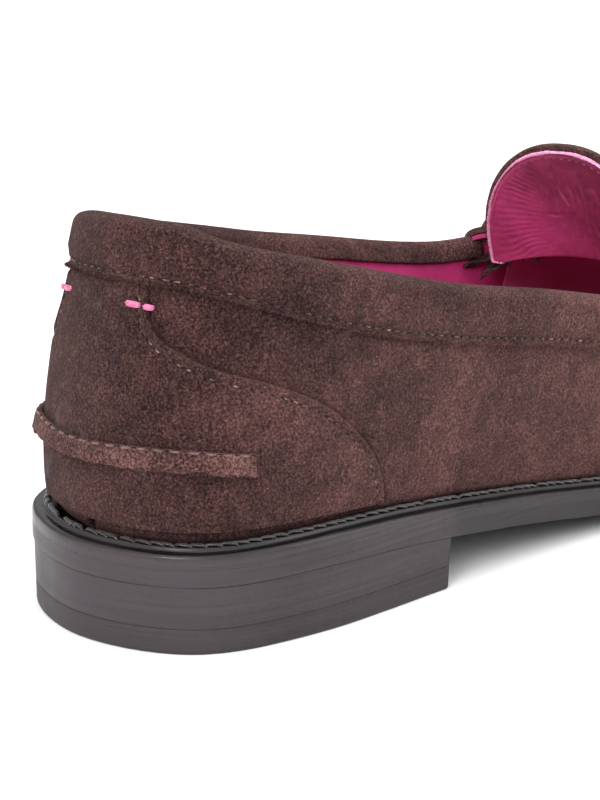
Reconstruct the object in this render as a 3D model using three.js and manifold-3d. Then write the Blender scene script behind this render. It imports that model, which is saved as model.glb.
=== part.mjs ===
// Penny loafer for the right foot, about a woman's EU 38: suede upper lined in leather, stitched black welt,
// leather sole and a low block heel. Millimetres, +X towards the toe, +Y towards the inner (medial) side of the
// foot, +Z up. The origin is on the ground, under the centre of the heel seat.
import * as THREE from "three";
import { LoftGeometry } from "three/addons/geometries/LoftGeometry.js";
import { mergeVertices } from "three/addons/utils/BufferGeometryUtils.js";
import Module from "manifold-3d";

const wasm = await Module();
wasm.setup();

// ---------------------------------------------------------------- driving dimensions
const GAP = 0.3; // clearance between neighbouring pieces
const HEEL_RISE = 13.77; // underside of the outsole above the ground at the heel
const SOLE_THICKNESS = 3.3;
const WELT_THICKNESS = 3.0;
const SEAT = HEEL_RISE + SOLE_THICKNESS + GAP + WELT_THICKNESS; // top of the welt at the heel
const LIFT_THICKNESS = 5.2;
const BREAST_X = 39.5; // front face of the heel
const TREAD_START_X = 150; // the sole touches the ground between these two
const TREAD_END_X = 160;
const TOE_SPRING = 0.0019; // rise of the sole per mm2 ahead of the tread
const MARGIN = 5.0; // sole edge to the outside of the upper, at the welt
const UPPER_THICKNESS = 1.4;
const TRIM_THICKNESS = 1.0;
const LINING_THICKNESS = 1.0;
const STIFFENER_THICKNESS = 1.2;

// Rows round the sole edge from the back of the heel, along the outer side to the toe and back:
// x and y of the edge, height of the upper above the welt, and how far its top edge lies inside the sole edge.
const EDGE_ROWS = [
  [-34, 0, 61.3, 11.2], // back of the heel
  [-24.5, -23.5, 60.1, 10.2],
  [0, -32, 54.0, 6.8],
  [36, -33, 46.4, 2.2],
  [72, -32.6, 43.5, -0.3], // outer waist
  [104, -34.8, 41.5, 1.5],
  [132, -40.5, 45, 15],
  [160, -45.2, 35, 18], // outer ball of the foot
  [190, -39.8, 27.5, 16],
  [210, -31, 24.5, 14.5],
  [231, 1, 23.5, 17], // tip of the toe
  [212.5, 31.5, 25, 14.5],
  [194, 39.5, 29.5, 16.5],
  [163, 44, 38, 17.5], // inner ball of the foot
  [133, 38, 47, 14],
  [104, 30, 43, -4],
  [72, 26.5, 44, -7], // inner waist
  [36, 29.5, 47, -2.5],
  [0, 32, 54.0, 7.4],
  [-24.5, 23.5, 58.9, 10.6],
];
const STEPS = 80; // sections in a full turn round the shoe
const RISE = new THREE.Vector3(0, 0, 1);

// ---------------------------------------------------------------- colours
const SUEDE = [0x4b342d, 0.95];
const SUEDE_TRIM = [0x5a3d35, 0.95];
const LINING = [0x8f2a55, 0.55];
const PINK_EDGE = [0xe08fbd, 0.6];
const SOLE = [0x4d4a4e, 0.45];
const WELT = [0x2b2929, 0.4];
const BOARD = [0xa98b62, 0.8];
const CORK = [0x9b744c, 0.9];
const STEEL = [0x9a9da1, 0.35, 0.9];
const THREAD = [0x8a6a58, 0.8];
const FOAM = [0xd9cdb8, 0.9];

// ---------------------------------------------------------------- the foot form
const smooth = (low, high, x) => THREE.MathUtils.smoothstep(x, low, high);
const range = (from, to, steps) => Array.from({ length: steps + 1 }, (_, i) => from + ((to - from) * i) / steps);

const closedCurve = (points) => new THREE.CatmullRomCurve3(points, true, "catmullrom", 0.5);
const fullTurn = range(0, 1, STEPS).slice(0, -1);

// The sole edge, evened out round the toe, where the rows stand furthest apart for its curve.
function evenEdge() {
  const rough = closedCurve(EDGE_ROWS.map(([x, y]) => new THREE.Vector3(x, y, 0)));
  let points = fullTurn.map((u) => rough.getPoint(u));
  for (let pass = 0; pass < 4; pass++) {
    points = points.map((point, i) => {
      const middle = points.at(i - 1).clone().add(points[(i + 1) % STEPS]).multiplyScalar(0.5);
      return point.clone().lerp(middle, 0.5 * smooth(165, 205, point.x));
    });
  }
  return closedCurve(points);
}
const edgeCurve = evenEdge();
const wallCurve = closedCurve(EDGE_ROWS.map(([, , height, inset]) => new THREE.Vector3(height, inset, 0)));

// Height of the sole line at x, measured from its height at the heel.
function rise(x) {
  return -HEEL_RISE * smooth(0, TREAD_START_X, x) + TOE_SPRING * Math.max(0, x - TREAD_END_X) ** 2;
}

// Sole edge at u (0 to 1 round the shoe) with its outward direction in plan.
function edge(u) {
  const step = 1e-4;
  const point = edgeCurve.getPoint(u);
  const along = edgeCurve.getPoint(u + step).sub(edgeCurve.getPoint(u - step)).normalize();
  return { point, out: new THREE.Vector3(along.y, -along.x, 0) };
}

// Point in plan at a distance outside the sole edge, on the height of the welt's top plus z.
function soleLine(u, outside, z) {
  const { point, out } = edge(u);
  const placed = point.clone().addScaledVector(out, outside);
  return placed.setZ(SEAT + rise(point.x) + z);
}

// Outside of the upper's wall: u round the shoe, v from the welt (0) to the top edge (1).
function wall(u, v) {
  const { point, out } = edge(u);
  const { x: height, y: inset } = wallCurve.getPoint(u);
  const turn = 0.5 + 0.75 * smooth(90, 165, point.x); // the wall rolls over the toes
  const rear = 1 - smooth(-20, 45, point.x); // the back of the heel is slimmer and swells lower down
  const belly = (3.2 - 0.95 * rear) * (1 - 0.5 * smooth(60, 150, point.x));
  const lean = ((1 - Math.cos(v * turn)) / (1 - Math.cos(turn))) ** (1 - 0.25 * rear);
  const round = Math.sin(Math.PI * THREE.MathUtils.clamp(v, 0, 1) ** (0.8 - 0.18 * rear));
  const placed = point.clone().addScaledVector(out, belly * round - MARGIN - (inset - MARGIN) * lean);
  return placed.setZ(SEAT + rise(point.x) + (height * Math.sin(v * turn)) / Math.sin(turn));
}

// Moves a point of a surface of two parameters outwards by depth.
function offset(surface, a, b, depth) {
  const step = 1e-3;
  const acrossA = surface(a + step, b).sub(surface(a - step, b));
  const acrossB = surface(a, b + step).sub(surface(a, b - step));
  return surface(a, b).addScaledVector(acrossA.cross(acrossB).normalize(), depth);
}
const skin = (u, v, depth) => offset(wall, u, v, depth);
const heightAt = (u) => wallCurve.getPoint(u).x;

// Top of the forefoot: w picks the station (as u on the outer side), s runs from the outer to the inner top edge.
function crown(w, s) {
  const step = 1e-3;
  const [outer, inner] = [wall(w, 1), wall(1 - w, 1)];
  const pull = 0.42 * outer.distanceTo(inner);
  const rising = wall(w, 1).sub(wall(w, 1 - step)).setLength(pull);
  const falling = wall(1 - w, 1 - step).sub(wall(1 - w, 1)).setLength(pull);
  const [s2, s3] = [s * s, s * s * s];
  return outer
    .multiplyScalar(2 * s3 - 3 * s2 + 1)
    .addScaledVector(rising, s3 - 2 * s2 + s)
    .addScaledVector(inner, 3 * s2 - 2 * s3)
    .addScaledVector(falling, s3 - s2);
}
const crownSkin = (w, s, depth) => offset(crown, w, s, depth);

// Distance from the toe and the heel stiffeners pushes the lining inwards.
function liningDepth(u) {
  const fromHeel = Math.min(u, 1 - u);
  const stiff = Math.max(1 - smooth(0.13, 0.165, fromHeel), smooth(0.37, 0.4, fromHeel));
  return -(UPPER_THICKNESS + 0.4 + (STIFFENER_THICKNESS + GAP) * stiff);
}
const wrap = (u) => (u + 1) % 1;

// ---------------------------------------------------------------- turning shapes into meshes
const shoe = new THREE.Group();

function bare(geometry) {
  const plain = new THREE.BufferGeometry().setIndex(geometry.index);
  return mergeVertices(plain.setAttribute("position", geometry.getAttribute("position")), 1e-4);
}

function toManifold(geometry) {
  const { attributes, index } = bare(geometry);
  const triVerts = Uint32Array.from(index.array);
  return new wasm.Manifold(new wasm.Mesh({ numProp: 3, vertProperties: attributes.position.array, triVerts }));
}

function fromManifold(solid) {
  const mesh = solid.getMesh();
  const positions = new Float32Array(mesh.numVert * 3);
  for (let i = 0; i < mesh.numVert; i++) {
    positions.set(mesh.vertProperties.subarray(i * mesh.numProp, i * mesh.numProp + 3), i * 3);
  }
  const geometry = new THREE.BufferGeometry();
  geometry.setAttribute("position", new THREE.BufferAttribute(positions, 3));
  geometry.setIndex(new THREE.BufferAttribute(mesh.triVerts, 1));
  geometry.computeVertexNormals();
  return geometry;
}

function add(name, solid, [color, roughness, metalness = 0]) {
  const material = new THREE.MeshStandardMaterial({ color, roughness, metalness });
  const mesh = new THREE.Mesh(fromManifold(solid), material);
  mesh.name = name;
  shoe.add(mesh);
}

// Sections are closed rings of points, turned here so that the skin between them faces outwards.
function facingOut(sections) {
  const [first, second] = sections;
  const travel = new THREE.Vector3();
  const area = new THREE.Vector3();
  first.forEach((point, i) => {
    travel.add(second[i]).sub(point);
    area.add(point.clone().cross(first[(i + 1) % first.length]));
  });
  return area.dot(travel) > 0 ? sections : sections.map((section) => [...section].reverse());
}
// A strip with capped ends, and a ring that closes on itself.
const strip = (sections) => toManifold(new LoftGeometry(facingOut(sections), { capStart: true, capEnd: true }));
const ring = (sections) => toManifold(new LoftGeometry(facingOut([...sections, sections[0]])));

// Places of the upper's sections, shared by all layers so that their facets match. They stand closer together
// beside the instep, where the wall twists.
const PLACES = range(0, 1, 2 * STEPS).filter((u, i) => i % 2 === 0 || Math.abs(Math.abs(u - 0.5) - 0.24) < 0.06);
const ALL_TURNS = [-1, 0, 1].flatMap((turn) => PLACES.slice(1).map((u) => u + turn));

function between(from, to) {
  return [from, ...ALL_TURNS.filter((u) => u > from + 0.002 && u < to - 0.002), to];
}

// A layer of the upper: outer and inner depths and low and high edges may change round the shoe.
function panel(from, to, low, high, inside, outside, rows) {
  const at = (value, u) => (typeof value === "function" ? value(u) : value);
  return strip(
    between(from, to).map((u) => {
      const place = wrap(u);
      const levels = range(at(low, u), at(high, u), rows);
      const outer = levels.map((v) => skin(place, v, at(outside, place)));
      const inner = levels.reverse().map((v) => skin(place, v, at(inside, place)));
      return [...outer, ...inner];
    }),
  );
}

// A flat sole piece: its outline in plan, bent to follow the sole line between two heights above the welt's top.
function plate(outline, low, high) {
  const deep = 200;
  const shape = new THREE.Shape(outline.map(({ x, y }) => new THREE.Vector2(x, y)));
  const prism = new THREE.ExtrudeGeometry(shape, { depth: deep, bevelEnabled: false });
  prism.translate(0, 0, -deep / 2);
  return toManifold(prism).intersect(bentSlab(low, high));
}

function bentSlab(low, high) {
  const half = 80;
  const places = [...range(-50, TREAD_START_X, 25), ...range(TREAD_END_X, 250, 12)];
  return strip(
    places.map((x) => {
      const [bottom, top] = [low, high].map((h) => SEAT + rise(x) + (typeof h === "function" ? h(x) : h));
      const corner = (y, z) => new THREE.Vector3(x, y, z);
      return [corner(-half, bottom), corner(half, bottom), corner(half, top), corner(-half, top)];
    }),
  );
}

const insetOutline = (inside) => fullTurn.map((u) => soleLine(u, typeof inside === "function" ? -inside(u) : -inside, 0));

// ---------------------------------------------------------------- sole and heel
const NAIL_PLACES = [[-20, 0], [-11, 17], [-11, -17], [14, 19], [14, -19]];
const NAIL_RADIUS = 1.1;
const NAIL_HEAD_RADIUS = 2.2;

function cylinder(radius, from, to, [x, y]) {
  const geometry = new THREE.CylinderGeometry(radius, radius, to - from, 12);
  geometry.rotateX(Math.PI / 2).translate(x, y, (from + to) / 2);
  return toManifold(geometry);
}
const drill = (solid, radius) =>
  NAIL_PLACES.reduce((left, place) => left.subtract(cylinder(radius + GAP, -1, 60, place)), solid);

// Everything of a solid behind (or, with sign 1, ahead of) a plane across the shoe.
function cutAt(solid, x, sign) {
  const half = new THREE.BoxGeometry(400, 400, 400).translate(x + sign * 200, 0, 0);
  return solid.intersect(toManifold(half));
}

function heelPrism() {
  const taper = 0.018; // the heel narrows a little towards the ground
  const outline = insetOutline(0);
  const at = (z, scale) => outline.map(({ x, y }) => new THREE.Vector3(x * scale, y * scale, z));
  const body = strip([at(0, 1 - taper), at(SEAT, 1)]);
  const breastRadius = 130; // the breast is a shallow hollow
  const hollow = new THREE.CylinderGeometry(breastRadius, breastRadius, 100, 96);
  hollow.rotateX(Math.PI / 2).translate(BREAST_X - 3.5 + breastRadius, 0, 0);
  return cutAt(body, BREAST_X, -1).subtract(toManifold(hollow));
}

function heel() {
  const prism = heelPrism();
  const slice = (low, high) => {
    const box = new THREE.BoxGeometry(200, 200, high - low).translate(0, 0, (low + high) / 2);
    return prism.intersect(toManifold(box));
  };
  add("top_lift", slice(0, LIFT_THICKNESS), SOLE);
  const block = prism
    .intersect(bentSlab(-40, -(WELT_THICKNESS + SOLE_THICKNESS + 2 * GAP)))
    .intersect(slice(LIFT_THICKNESS + GAP, 40));
  const sunk = 8; // depth that the nails reach into the block
  const holes = NAIL_PLACES.map((place) => cylinder(NAIL_RADIUS + GAP, HEEL_RISE - sunk - GAP, 60, place));
  add("heel_block", holes.reduce((left, hole) => left.subtract(hole), block), SOLE);
  NAIL_PLACES.forEach((place, i) => {
    const top = SEAT + rise(place[0]) + 2.2;
    const shaft = cylinder(NAIL_RADIUS, HEEL_RISE - sunk, top - 0.5, place);
    add(`heel_nail_${i + 1}`, shaft.add(cylinder(NAIL_HEAD_RADIUS, top - 0.9, top, place)), STEEL);
  });
}

// The welt's section: a flat margin and a raised lip against the upper. Distances outside the sole edge, heights.
const LIP_HEIGHT = 1.5;
const WELT_SECTION = [
  [0, -WELT_THICKNESS],
  [0, 0],
  [-1.9, 0],
  [-2.2, LIP_HEIGHT - 0.3],
  [-2.5, LIP_HEIGHT],
  [-3.3, LIP_HEIGHT],
  [-3.7, 0],
  [-8.5, 0],
  [-8.5, -WELT_THICKNESS],
];

function sole() {
  const soleTop = -WELT_THICKNESS - GAP;
  const outsole = plate(insetOutline(0), soleTop - SOLE_THICKNESS, soleTop);
  add("outsole", drill(outsole, NAIL_RADIUS), SOLE);
  add("welt", ring(fullTurn.map((u) => WELT_SECTION.map(([out, z]) => soleLine(u, out, z)))), WELT);
  // The stitching lies along the lip as one thread.
  const thread = [[-3.1, 0.3], [-2.6, 0.3], [-2.6, 0.8], [-3.1, 0.8]];
  add("welt_stitching", ring(fullTurn.map((u) => thread.map(([out, z]) => soleLine(u, out, LIP_HEIGHT + z)))), THREAD);

  const core = insetOutline(9.0);
  const ballFiller = cutAt(plate(core, -WELT_THICKNESS, 0), 112, 1);
  add("cork_filler", ballFiller, CORK);
  const shankOutline = new THREE.Shape();
  shankOutline.absellipse(57, -2, 49, 6.5, 0, 2 * Math.PI);
  const shank = plate(shankOutline.getPoints(8), -2.4, -1.2);
  add("steel_shank", shank, STEEL);
  const bed = new THREE.Shape();
  bed.absellipse(57, -2, 50, 7.5, 0, 2 * Math.PI);
  const waist = cutAt(plate(core, -WELT_THICKNESS, 0), 112 - GAP, -1).subtract(plate(bed.getPoints(8), -2.7, 5));
  add("waist_filler", drill(waist, NAIL_RADIUS), BOARD);
}

function footbed() {
  const inside = (u) => MARGIN - liningDepth(u) + LINING_THICKNESS + 0.5;
  const outline = insetOutline(inside);
  add("insole_board", drill(plate(outline, GAP, 2.3), NAIL_HEAD_RADIUS), BOARD);
  const padThickness = 2.4;
  const padAt = (x) => padThickness * (1 - smooth(34, 58, x));
  const sockBottom = 2.6;
  const pad = plate(outline, sockBottom, (x) => sockBottom + Math.max(0.2, padAt(x)));
  add("heel_pad", cutAt(pad, 50, -1), FOAM);
  const sockLow = (x) => sockBottom + GAP + padAt(x);
  add("sock_lining", plate(outline, sockLow, (x) => sockLow(x) + LINING_THICKNESS), LINING);
}

// ---------------------------------------------------------------- upper
const QUARTER_END = 0.283; // where the quarters meet the vamp, under the saddle
const QUARTER_TOP = 0.965;
const VAMP_START = QUARTER_END + 0.004;
const bottomAt = (clear) => (u) => clear / heightAt(wrap(u));
const foot = bottomAt(0.35);
const vampTop = (u) => 1 - 0.5 / heightAt(wrap(u));
const COLLAR_END = 0.268;
const COLLAR_DROP_HEEL = 0.195; // share of the wall that the collar band covers
const COLLAR_DROP_SIDE = 0.26;
const fromHeel = (u) => Math.min(wrap(u), 1 - wrap(u));
const collarLow = (u) => 1 - THREE.MathUtils.lerp(COLLAR_DROP_HEEL, COLLAR_DROP_SIDE, smooth(0.065, 0.135, fromHeel(u)));

// Layers that lie on each other share their levels, so that their facets match.
const ROWS = 6;
const partWay = (top) => (u) => THREE.MathUtils.lerp(foot(u), typeof top === "function" ? top(u) : top, 1 - 1 / ROWS);

function quarters() {
  add("quarter_outer", panel(0.0015, QUARTER_END, foot, QUARTER_TOP, -UPPER_THICKNESS, 0, ROWS), SUEDE);
  add("quarter_inner", panel(1 - QUARTER_END, 0.9985, foot, QUARTER_TOP, -UPPER_THICKNESS, 0, ROWS), SUEDE);
  const lining = (from, to, high) =>
    panel(from, to, foot, high, (u) => liningDepth(u) - LINING_THICKNESS, liningDepth, ROWS);
  add("quarter_lining", lining(-QUARTER_END, QUARTER_END, QUARTER_TOP), LINING);
  add("vamp_lining", lining(VAMP_START, 1 - VAMP_START, vampTop), LINING);
  const stiffener = (from, to, top) => {
    const outside = -UPPER_THICKNESS - GAP;
    return panel(from, to, foot, partWay(top), outside - STIFFENER_THICKNESS, outside, ROWS - 1);
  };
  add("heel_stiffener", stiffener(-0.13, 0.13, QUARTER_TOP), BOARD);
  add("toe_puff", stiffener(0.4, 0.6, vampTop), BOARD);
}

// The suede heel counter: its top edge falls from the collar to the welt along a rounded line.
const COUNTER_EDGE = new THREE.SplineCurve(
  [[0, 0.79], [0.025, 0.79], [0.0265, 0.72], [0.031, 0.66], [0.04, 0.62], [0.056, 0.582], [0.075, 0.56],
   [0.09, 0.532], [0.104, 0.477], [0.116, 0.38], [0.124, 0.275], [0.129, 0.17], [0.132, 0.06]].map(
    ([u, v]) => new THREE.Vector2(u, v),
  ),
);
const counterPoints = COUNTER_EDGE.getPoints(60);
function counterHigh(u) {
  const next = Math.max(1, counterPoints.findIndex((point) => point.x >= fromHeel(u)));
  const [a, b] = [counterPoints[next - 1], counterPoints[next]];
  return THREE.MathUtils.mapLinear(fromHeel(u), a.x, b.x, a.y, b.y);
}

function heelTrim() {
  const outside = GAP + TRIM_THICKNESS;
  add("heel_counter", panel(-0.1315, 0.1315, bottomAt(2.7), counterHigh, GAP, outside, 4), SUEDE);
  const stripOutside = outside + GAP + 1.5;
  add("heel_strip", panel(-0.0765, 0.0765, 0.25, 0.317, outside + GAP, stripOutside, 1), SUEDE_TRIM);
  // Bar tacks across the top of the counter's seams.
  for (const [name, from] of [["tack_outer", 0.016], ["tack_inner", 1 - 0.0368]]) {
    add(name, panel(from, from + 0.0148, 0.726, 0.748, outside + GAP, outside + GAP + 0.7, 1), PINK_EDGE);
  }
}

// The collar band covers the top of the quarters, wraps over the edge and turns down inside over the lining.
function collar() {
  const outside = GAP + TRIM_THICKNESS + GAP;
  const sections = between(-COLLAR_END, COLLAR_END).map((u) => {
    const place = wrap(u);
    const height = heightAt(place);
    const inside = liningDepth(place) - LINING_THICKNESS - GAP - 0.8;
    const at = (v, mm, depth) => skin(place, v + mm / height, depth);
    const low = collarLow(u);
    return [
      at(low, 0, GAP),
      at(low, 0, outside),
      at((low + 1) / 2, 0, outside),
      at(1, -1.2, outside),
      at(1, -0.1, outside - 0.7),
      at(1, 0.4, outside / 2 - 1.2),
      at(1, 0.4, inside / 2 - 0.2),
      at(1, -0.1, inside + 0.6),
      at(1, -1.4, inside),
      at(1, -5, inside),
      at(1, -5, inside + 0.8),
      at(0.965, GAP, inside + 0.8),
      at(0.965, GAP, GAP),
    ];
  });
  add("collar_band", strip(sections), SUEDE);
}

const THROAT = 0.268; // rear edge of the apron
const STRAP_BACK = 0.276;
const STRAP_FRONT = 0.318;

function vampAndApron() {
  add("vamp", panel(VAMP_START, 1 - VAMP_START, foot, vampTop, -UPPER_THICKNESS, 0, ROWS), SUEDE);

  // The apron closes the top of the forefoot; its stations crowd towards the toe, where it narrows.
  const stations = range(0, 1, 20).map((k) => THREE.MathUtils.lerp(THROAT, 0.494, Math.sin((k * Math.PI) / 2)));
  const across = (start) => range(start, 1 - start, 7);
  const layer = (start, inside, outside) =>
    strip(
      stations.map((w) => {
        const outer = across(start).map((s) => crownSkin(w, s, outside));
        const inner = across(start).reverse().map((s) => crownSkin(w, s, inside));
        return [...outer, ...inner];
      }),
    );
  add("apron", layer(0.016, -UPPER_THICKNESS, 0), SUEDE);
  const liningTop = -UPPER_THICKNESS - 0.4;
  add("apron_lining", layer(0.1, liningTop - LINING_THICKNESS, liningTop), LINING);

  // The raised seam that joins the apron to the vamp. Distances past the wall's top edge, and depths.
  const rollSection = [[-1.5, 0.3], [1.5, 0.3], [1.8, 1.3], [0.9, 2.3], [-0.9, 2.3], [-1.8, 1.3]];
  const rollStart = STRAP_FRONT + 0.004;
  const roll = between(rollStart, 1 - rollStart).map((u) =>
    rollSection.map(([past, depth]) => skin(u, 1 + past / heightAt(u), depth)),
  );
  add("apron_seam", strip(roll), SUEDE_TRIM);
}

// The saddle crosses the instep from low on the outer wall to low on the inner wall.
const STRAP_LOW = 0.12;
const WALL_SHARE = 0.34; // share of the strap's length on each wall
function strapPoint(w, t, depth) {
  const climb = (share) => THREE.MathUtils.lerp(STRAP_LOW, 1, share / WALL_SHARE);
  if (t <= WALL_SHARE) return skin(w, climb(t), depth);
  if (t >= 1 - WALL_SHARE) return skin(1 - w, climb(1 - t), depth);
  return crownSkin(w, (t - WALL_SHARE) / (1 - 2 * WALL_SHARE), depth);
}

function strapLayer(trim, inside, outside) {
  const places = [
    ...range(0, WALL_SHARE, 6),
    ...range(WALL_SHARE, 1 - WALL_SHARE, 14).slice(1, -1),
    ...range(1 - WALL_SHARE, 1, 6),
  ];
  return strip(
    places.map((t) => {
      const flare = 0.006 * Math.cos(Math.PI * Math.min(1, 2 * Math.min(t, 1 - t))); // wider at the ends
      const widths = range(STRAP_BACK + trim, STRAP_FRONT - trim + Math.max(0, flare) - 0.003, 3);
      const outer = widths.map((w) => strapPoint(w, t, outside));
      const inner = widths.reverse().map((w) => strapPoint(w, t, inside));
      return [...outer, ...inner];
    }),
  );
}

function saddle() {
  const liningOutside = GAP + 0.8;
  add("saddle_lining", strapLayer(0.002, GAP, liningOutside), LINING);
  const centre = crown((STRAP_BACK + STRAP_FRONT) / 2, 0.5);
  const slot = new THREE.Shape(); // the slit that gives the penny loafer its name
  slot.moveTo(0, -13);
  slot.quadraticCurveTo(5.5, 0, 0, 13);
  slot.quadraticCurveTo(-2.5, 0, 0, -13);
  const cutter = new THREE.ExtrudeGeometry(slot, { depth: 30, bevelEnabled: false, curveSegments: 10 });
  cutter.translate(centre.x - 1.5, centre.y, centre.z - 12);
  const inside = liningOutside + 0.4;
  const strap = strapLayer(0, inside, inside + UPPER_THICKNESS);
  add("saddle_strap", strap.subtract(toManifold(cutter)), SUEDE);
}

// ---------------------------------------------------------------- tongue, built in the plane of its face
const TONGUE_BASE = new THREE.Vector3(113.6, -6.3, 53.6); // middle of the base line
const TONGUE_LEAN = -0.285; // radians from upright, towards the heel
const TONGUE_TILT = -0.09; // its outer side stands higher
const TONGUE_TURN = 0.05; // and a little further forward
const TONGUE_HALF_WIDTH = 25;
const TONGUE_HEIGHT = 29.1;
const TONGUE_CUP = 3.0; // the sides curl back round the foot
const TONGUE_ARCH = 4.7; // the foot of the tongue follows the arch of the throat
const TONGUE_ROUNDNESS = 2.3; // exponent of its outline, 2 for an ellipse

function tonguePoint(across, up, depth) {
  const bend = TONGUE_CUP * (across / TONGUE_HALF_WIDTH) ** 2;
  const turned = new THREE.Euler(TONGUE_TILT, TONGUE_LEAN, TONGUE_TURN, "ZYX");
  return new THREE.Vector3(depth - bend, across, up).applyEuler(turned).add(TONGUE_BASE);
}

function tongueTop(across, inset) {
  const [width, height] = [TONGUE_HALF_WIDTH - inset, TONGUE_HEIGHT - inset];
  return height * (1 - (Math.abs(across) / width) ** TONGUE_ROUNDNESS) ** (1 / TONGUE_ROUNDNESS);
}

function tongueLayer(inset, inside, outside) {
  const reach = (TONGUE_HALF_WIDTH - inset) * 0.985;
  return strip(
    range(-1, 1, 20).map((k) => {
      const across = reach * Math.sin((k * Math.PI) / 2);
      const low = TONGUE_ARCH * (1 - (across / TONGUE_HALF_WIDTH) ** 2);
      const levels = range(low, tongueTop(across, inset), 3);
      const outer = levels.map((up) => tonguePoint(across, up, outside));
      const inner = levels.reverse().map((up) => tonguePoint(across, up, inside));
      return [...outer, ...inner];
    }),
  );
}

function tongue() {
  add("tongue_suede", tongueLayer(0, 0, UPPER_THICKNESS), SUEDE);
  add("tongue_lining", tongueLayer(2.4, -GAP - LINING_THICKNESS, -GAP), LINING);
  // The lining's pale folded edge runs round the free side of the tongue.
  const section = [[1.0, -GAP], [1.0, -GAP - 0.9], [2.0, -GAP - 0.9], [2.0, -GAP]];
  const power = 2 / TONGUE_ROUNDNESS;
  const sections = range(0.05, 0.95, 24).map((k) => {
    const [side, rising] = [Math.cos(Math.PI * k), Math.sin(Math.PI * k)];
    return section.map(([inset, depth]) => {
      const across = (TONGUE_HALF_WIDTH - inset) * Math.sign(side) * Math.abs(side) ** power;
      return tonguePoint(across, (TONGUE_HEIGHT - inset) * rising ** power, depth);
    });
  });
  add("tongue_edge", strip(sections), PINK_EDGE);
}

// The ragged seam allowance of the apron shows under the tongue, on the inner side of the throat.
function throatFringe() {
  const depth = UPPER_THICKNESS + 0.4 + LINING_THICKNESS + GAP;
  const sections = range(0.58, 0.78, 10).map((s, i) => {
    const reach = i % 2 === 0 ? 0.006 : 0.009;
    const droop = i % 2 === 0 ? 5.2 : 8;
    const point = (w, down, fall) => crownSkin(w, s, -down).addScaledVector(RISE, -fall);
    const back = THROAT - reach;
    const front = THROAT + 0.01;
    return [point(front, depth, 0), point(front, depth + 1, 0), point(back, depth + 1, droop), point(back, depth, droop)];
  });
  add("throat_fringe", strip(sections), SUEDE);
}

heel();
sole();
footbed();
quarters();
heelTrim();
collar();
vampAndApron();
saddle();
tongue();
throatFringe();

export default shoe;
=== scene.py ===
"""Looks of a right-foot penny loafer in chocolate suede: every visible leather, thread and sole piece is built here
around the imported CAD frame. Lengths are in millimetres until a mesh is made."""

import math

import bmesh
import bpy
import numpy as np
from mathutils import Matrix, Vector


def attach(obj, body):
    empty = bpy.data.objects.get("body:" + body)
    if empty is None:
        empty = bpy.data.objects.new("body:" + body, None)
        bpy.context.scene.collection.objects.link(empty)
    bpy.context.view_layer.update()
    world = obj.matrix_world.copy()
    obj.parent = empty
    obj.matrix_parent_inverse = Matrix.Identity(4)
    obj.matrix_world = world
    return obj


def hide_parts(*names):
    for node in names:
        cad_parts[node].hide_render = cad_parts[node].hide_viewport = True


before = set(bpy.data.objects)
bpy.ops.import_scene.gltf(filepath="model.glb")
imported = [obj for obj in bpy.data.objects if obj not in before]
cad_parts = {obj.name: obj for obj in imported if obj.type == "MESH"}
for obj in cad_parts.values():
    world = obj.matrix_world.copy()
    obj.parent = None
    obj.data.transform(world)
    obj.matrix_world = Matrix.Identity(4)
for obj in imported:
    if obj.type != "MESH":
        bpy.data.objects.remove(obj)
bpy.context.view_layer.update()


# ------------------------------------------------------------------ the shoe's form, as in the CAD
GAP = 0.3
SOLE_THICKNESS = 3.3
WELT_THICKNESS = 3.0
HEEL_RISE = 13.77
SEAT = HEEL_RISE + SOLE_THICKNESS + GAP + WELT_THICKNESS
LIFT_THICKNESS = 5.2
BREAST_X = 39.5
TREAD_START_X, TREAD_END_X, TOE_SPRING = 150, 160, 0.0019
MARGIN = 5.0
UPPER, TRIM, LINING, STIFFENER = 1.4, 1.0, 1.0, 1.2
SECTIONS = 80
# x and y of the sole edge, height of the wall and inset of its top edge, as in the CAD's rows
ROWS = np.array([
    (-34, 0, 61.3, 11.2), (-24.5, -23.5, 60.1, 10.2), (0, -32, 54.0, 6.8), (36, -33, 46.4, 2.2),
    (72, -32.6, 43.5, -0.3), (104, -34.8, 41.5, 1.5), (132, -40.5, 45, 15), (160, -45.2, 35, 18),
    (190, -39.8, 27.5, 16), (210, -31, 24.5, 14.5), (231, 1, 23.5, 17), (212.5, 31.5, 25, 14.5),
    (194, 39.5, 29.5, 16.5), (163, 44, 38, 17.5), (133, 38, 47, 14), (104, 30, 43, -4), (72, 26.5, 44, -7),
    (36, 29.5, 47, -2.5), (0, 32, 54.0, 7.4), (-24.5, 23.5, 58.9, 10.6),
], float)
U_MM, V_MM = 640.0, 56.0  # lengths of one unit of u and of v, near enough for spacing
WALL_SCALE = U_MM, V_MM


def smooth(low, high, x):
    t = np.clip((np.asarray(x, float) - low) / (high - low), 0, 1)
    return t * t * (3 - 2 * t)


def lerp(a, b, t):
    return a + (b - a) * t


def unit(vectors):
    return vectors / np.linalg.norm(vectors, axis=-1, keepdims=True)


def dip(x, middle, half_width):
    """1 in the middle of a soft groove, down to 0 on both sides."""
    return np.exp(-(((x - middle) / half_width) ** 2))


def swell_in(distance, radius=1.0, least=0.0):
    """From 0 at an edge to 1 a radius inside it, as a round edge rises."""
    return np.sqrt(np.clip(1 - (1 - np.minimum(distance / radius, 1.0)) ** 2, least, 1))


def lengths_along(path):
    return np.concatenate([[0], np.cumsum(np.linalg.norm(np.diff(path, axis=0), axis=1))])


def to_ends(count, span):
    """Distance of each of a span's even stations from its nearer end."""
    index = np.arange(count)
    return np.minimum(index, index[::-1])[:, None] * (span / count)


def ring_angles(count):
    return np.linspace(0, 2 * np.pi, count, endpoint=False)


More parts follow.
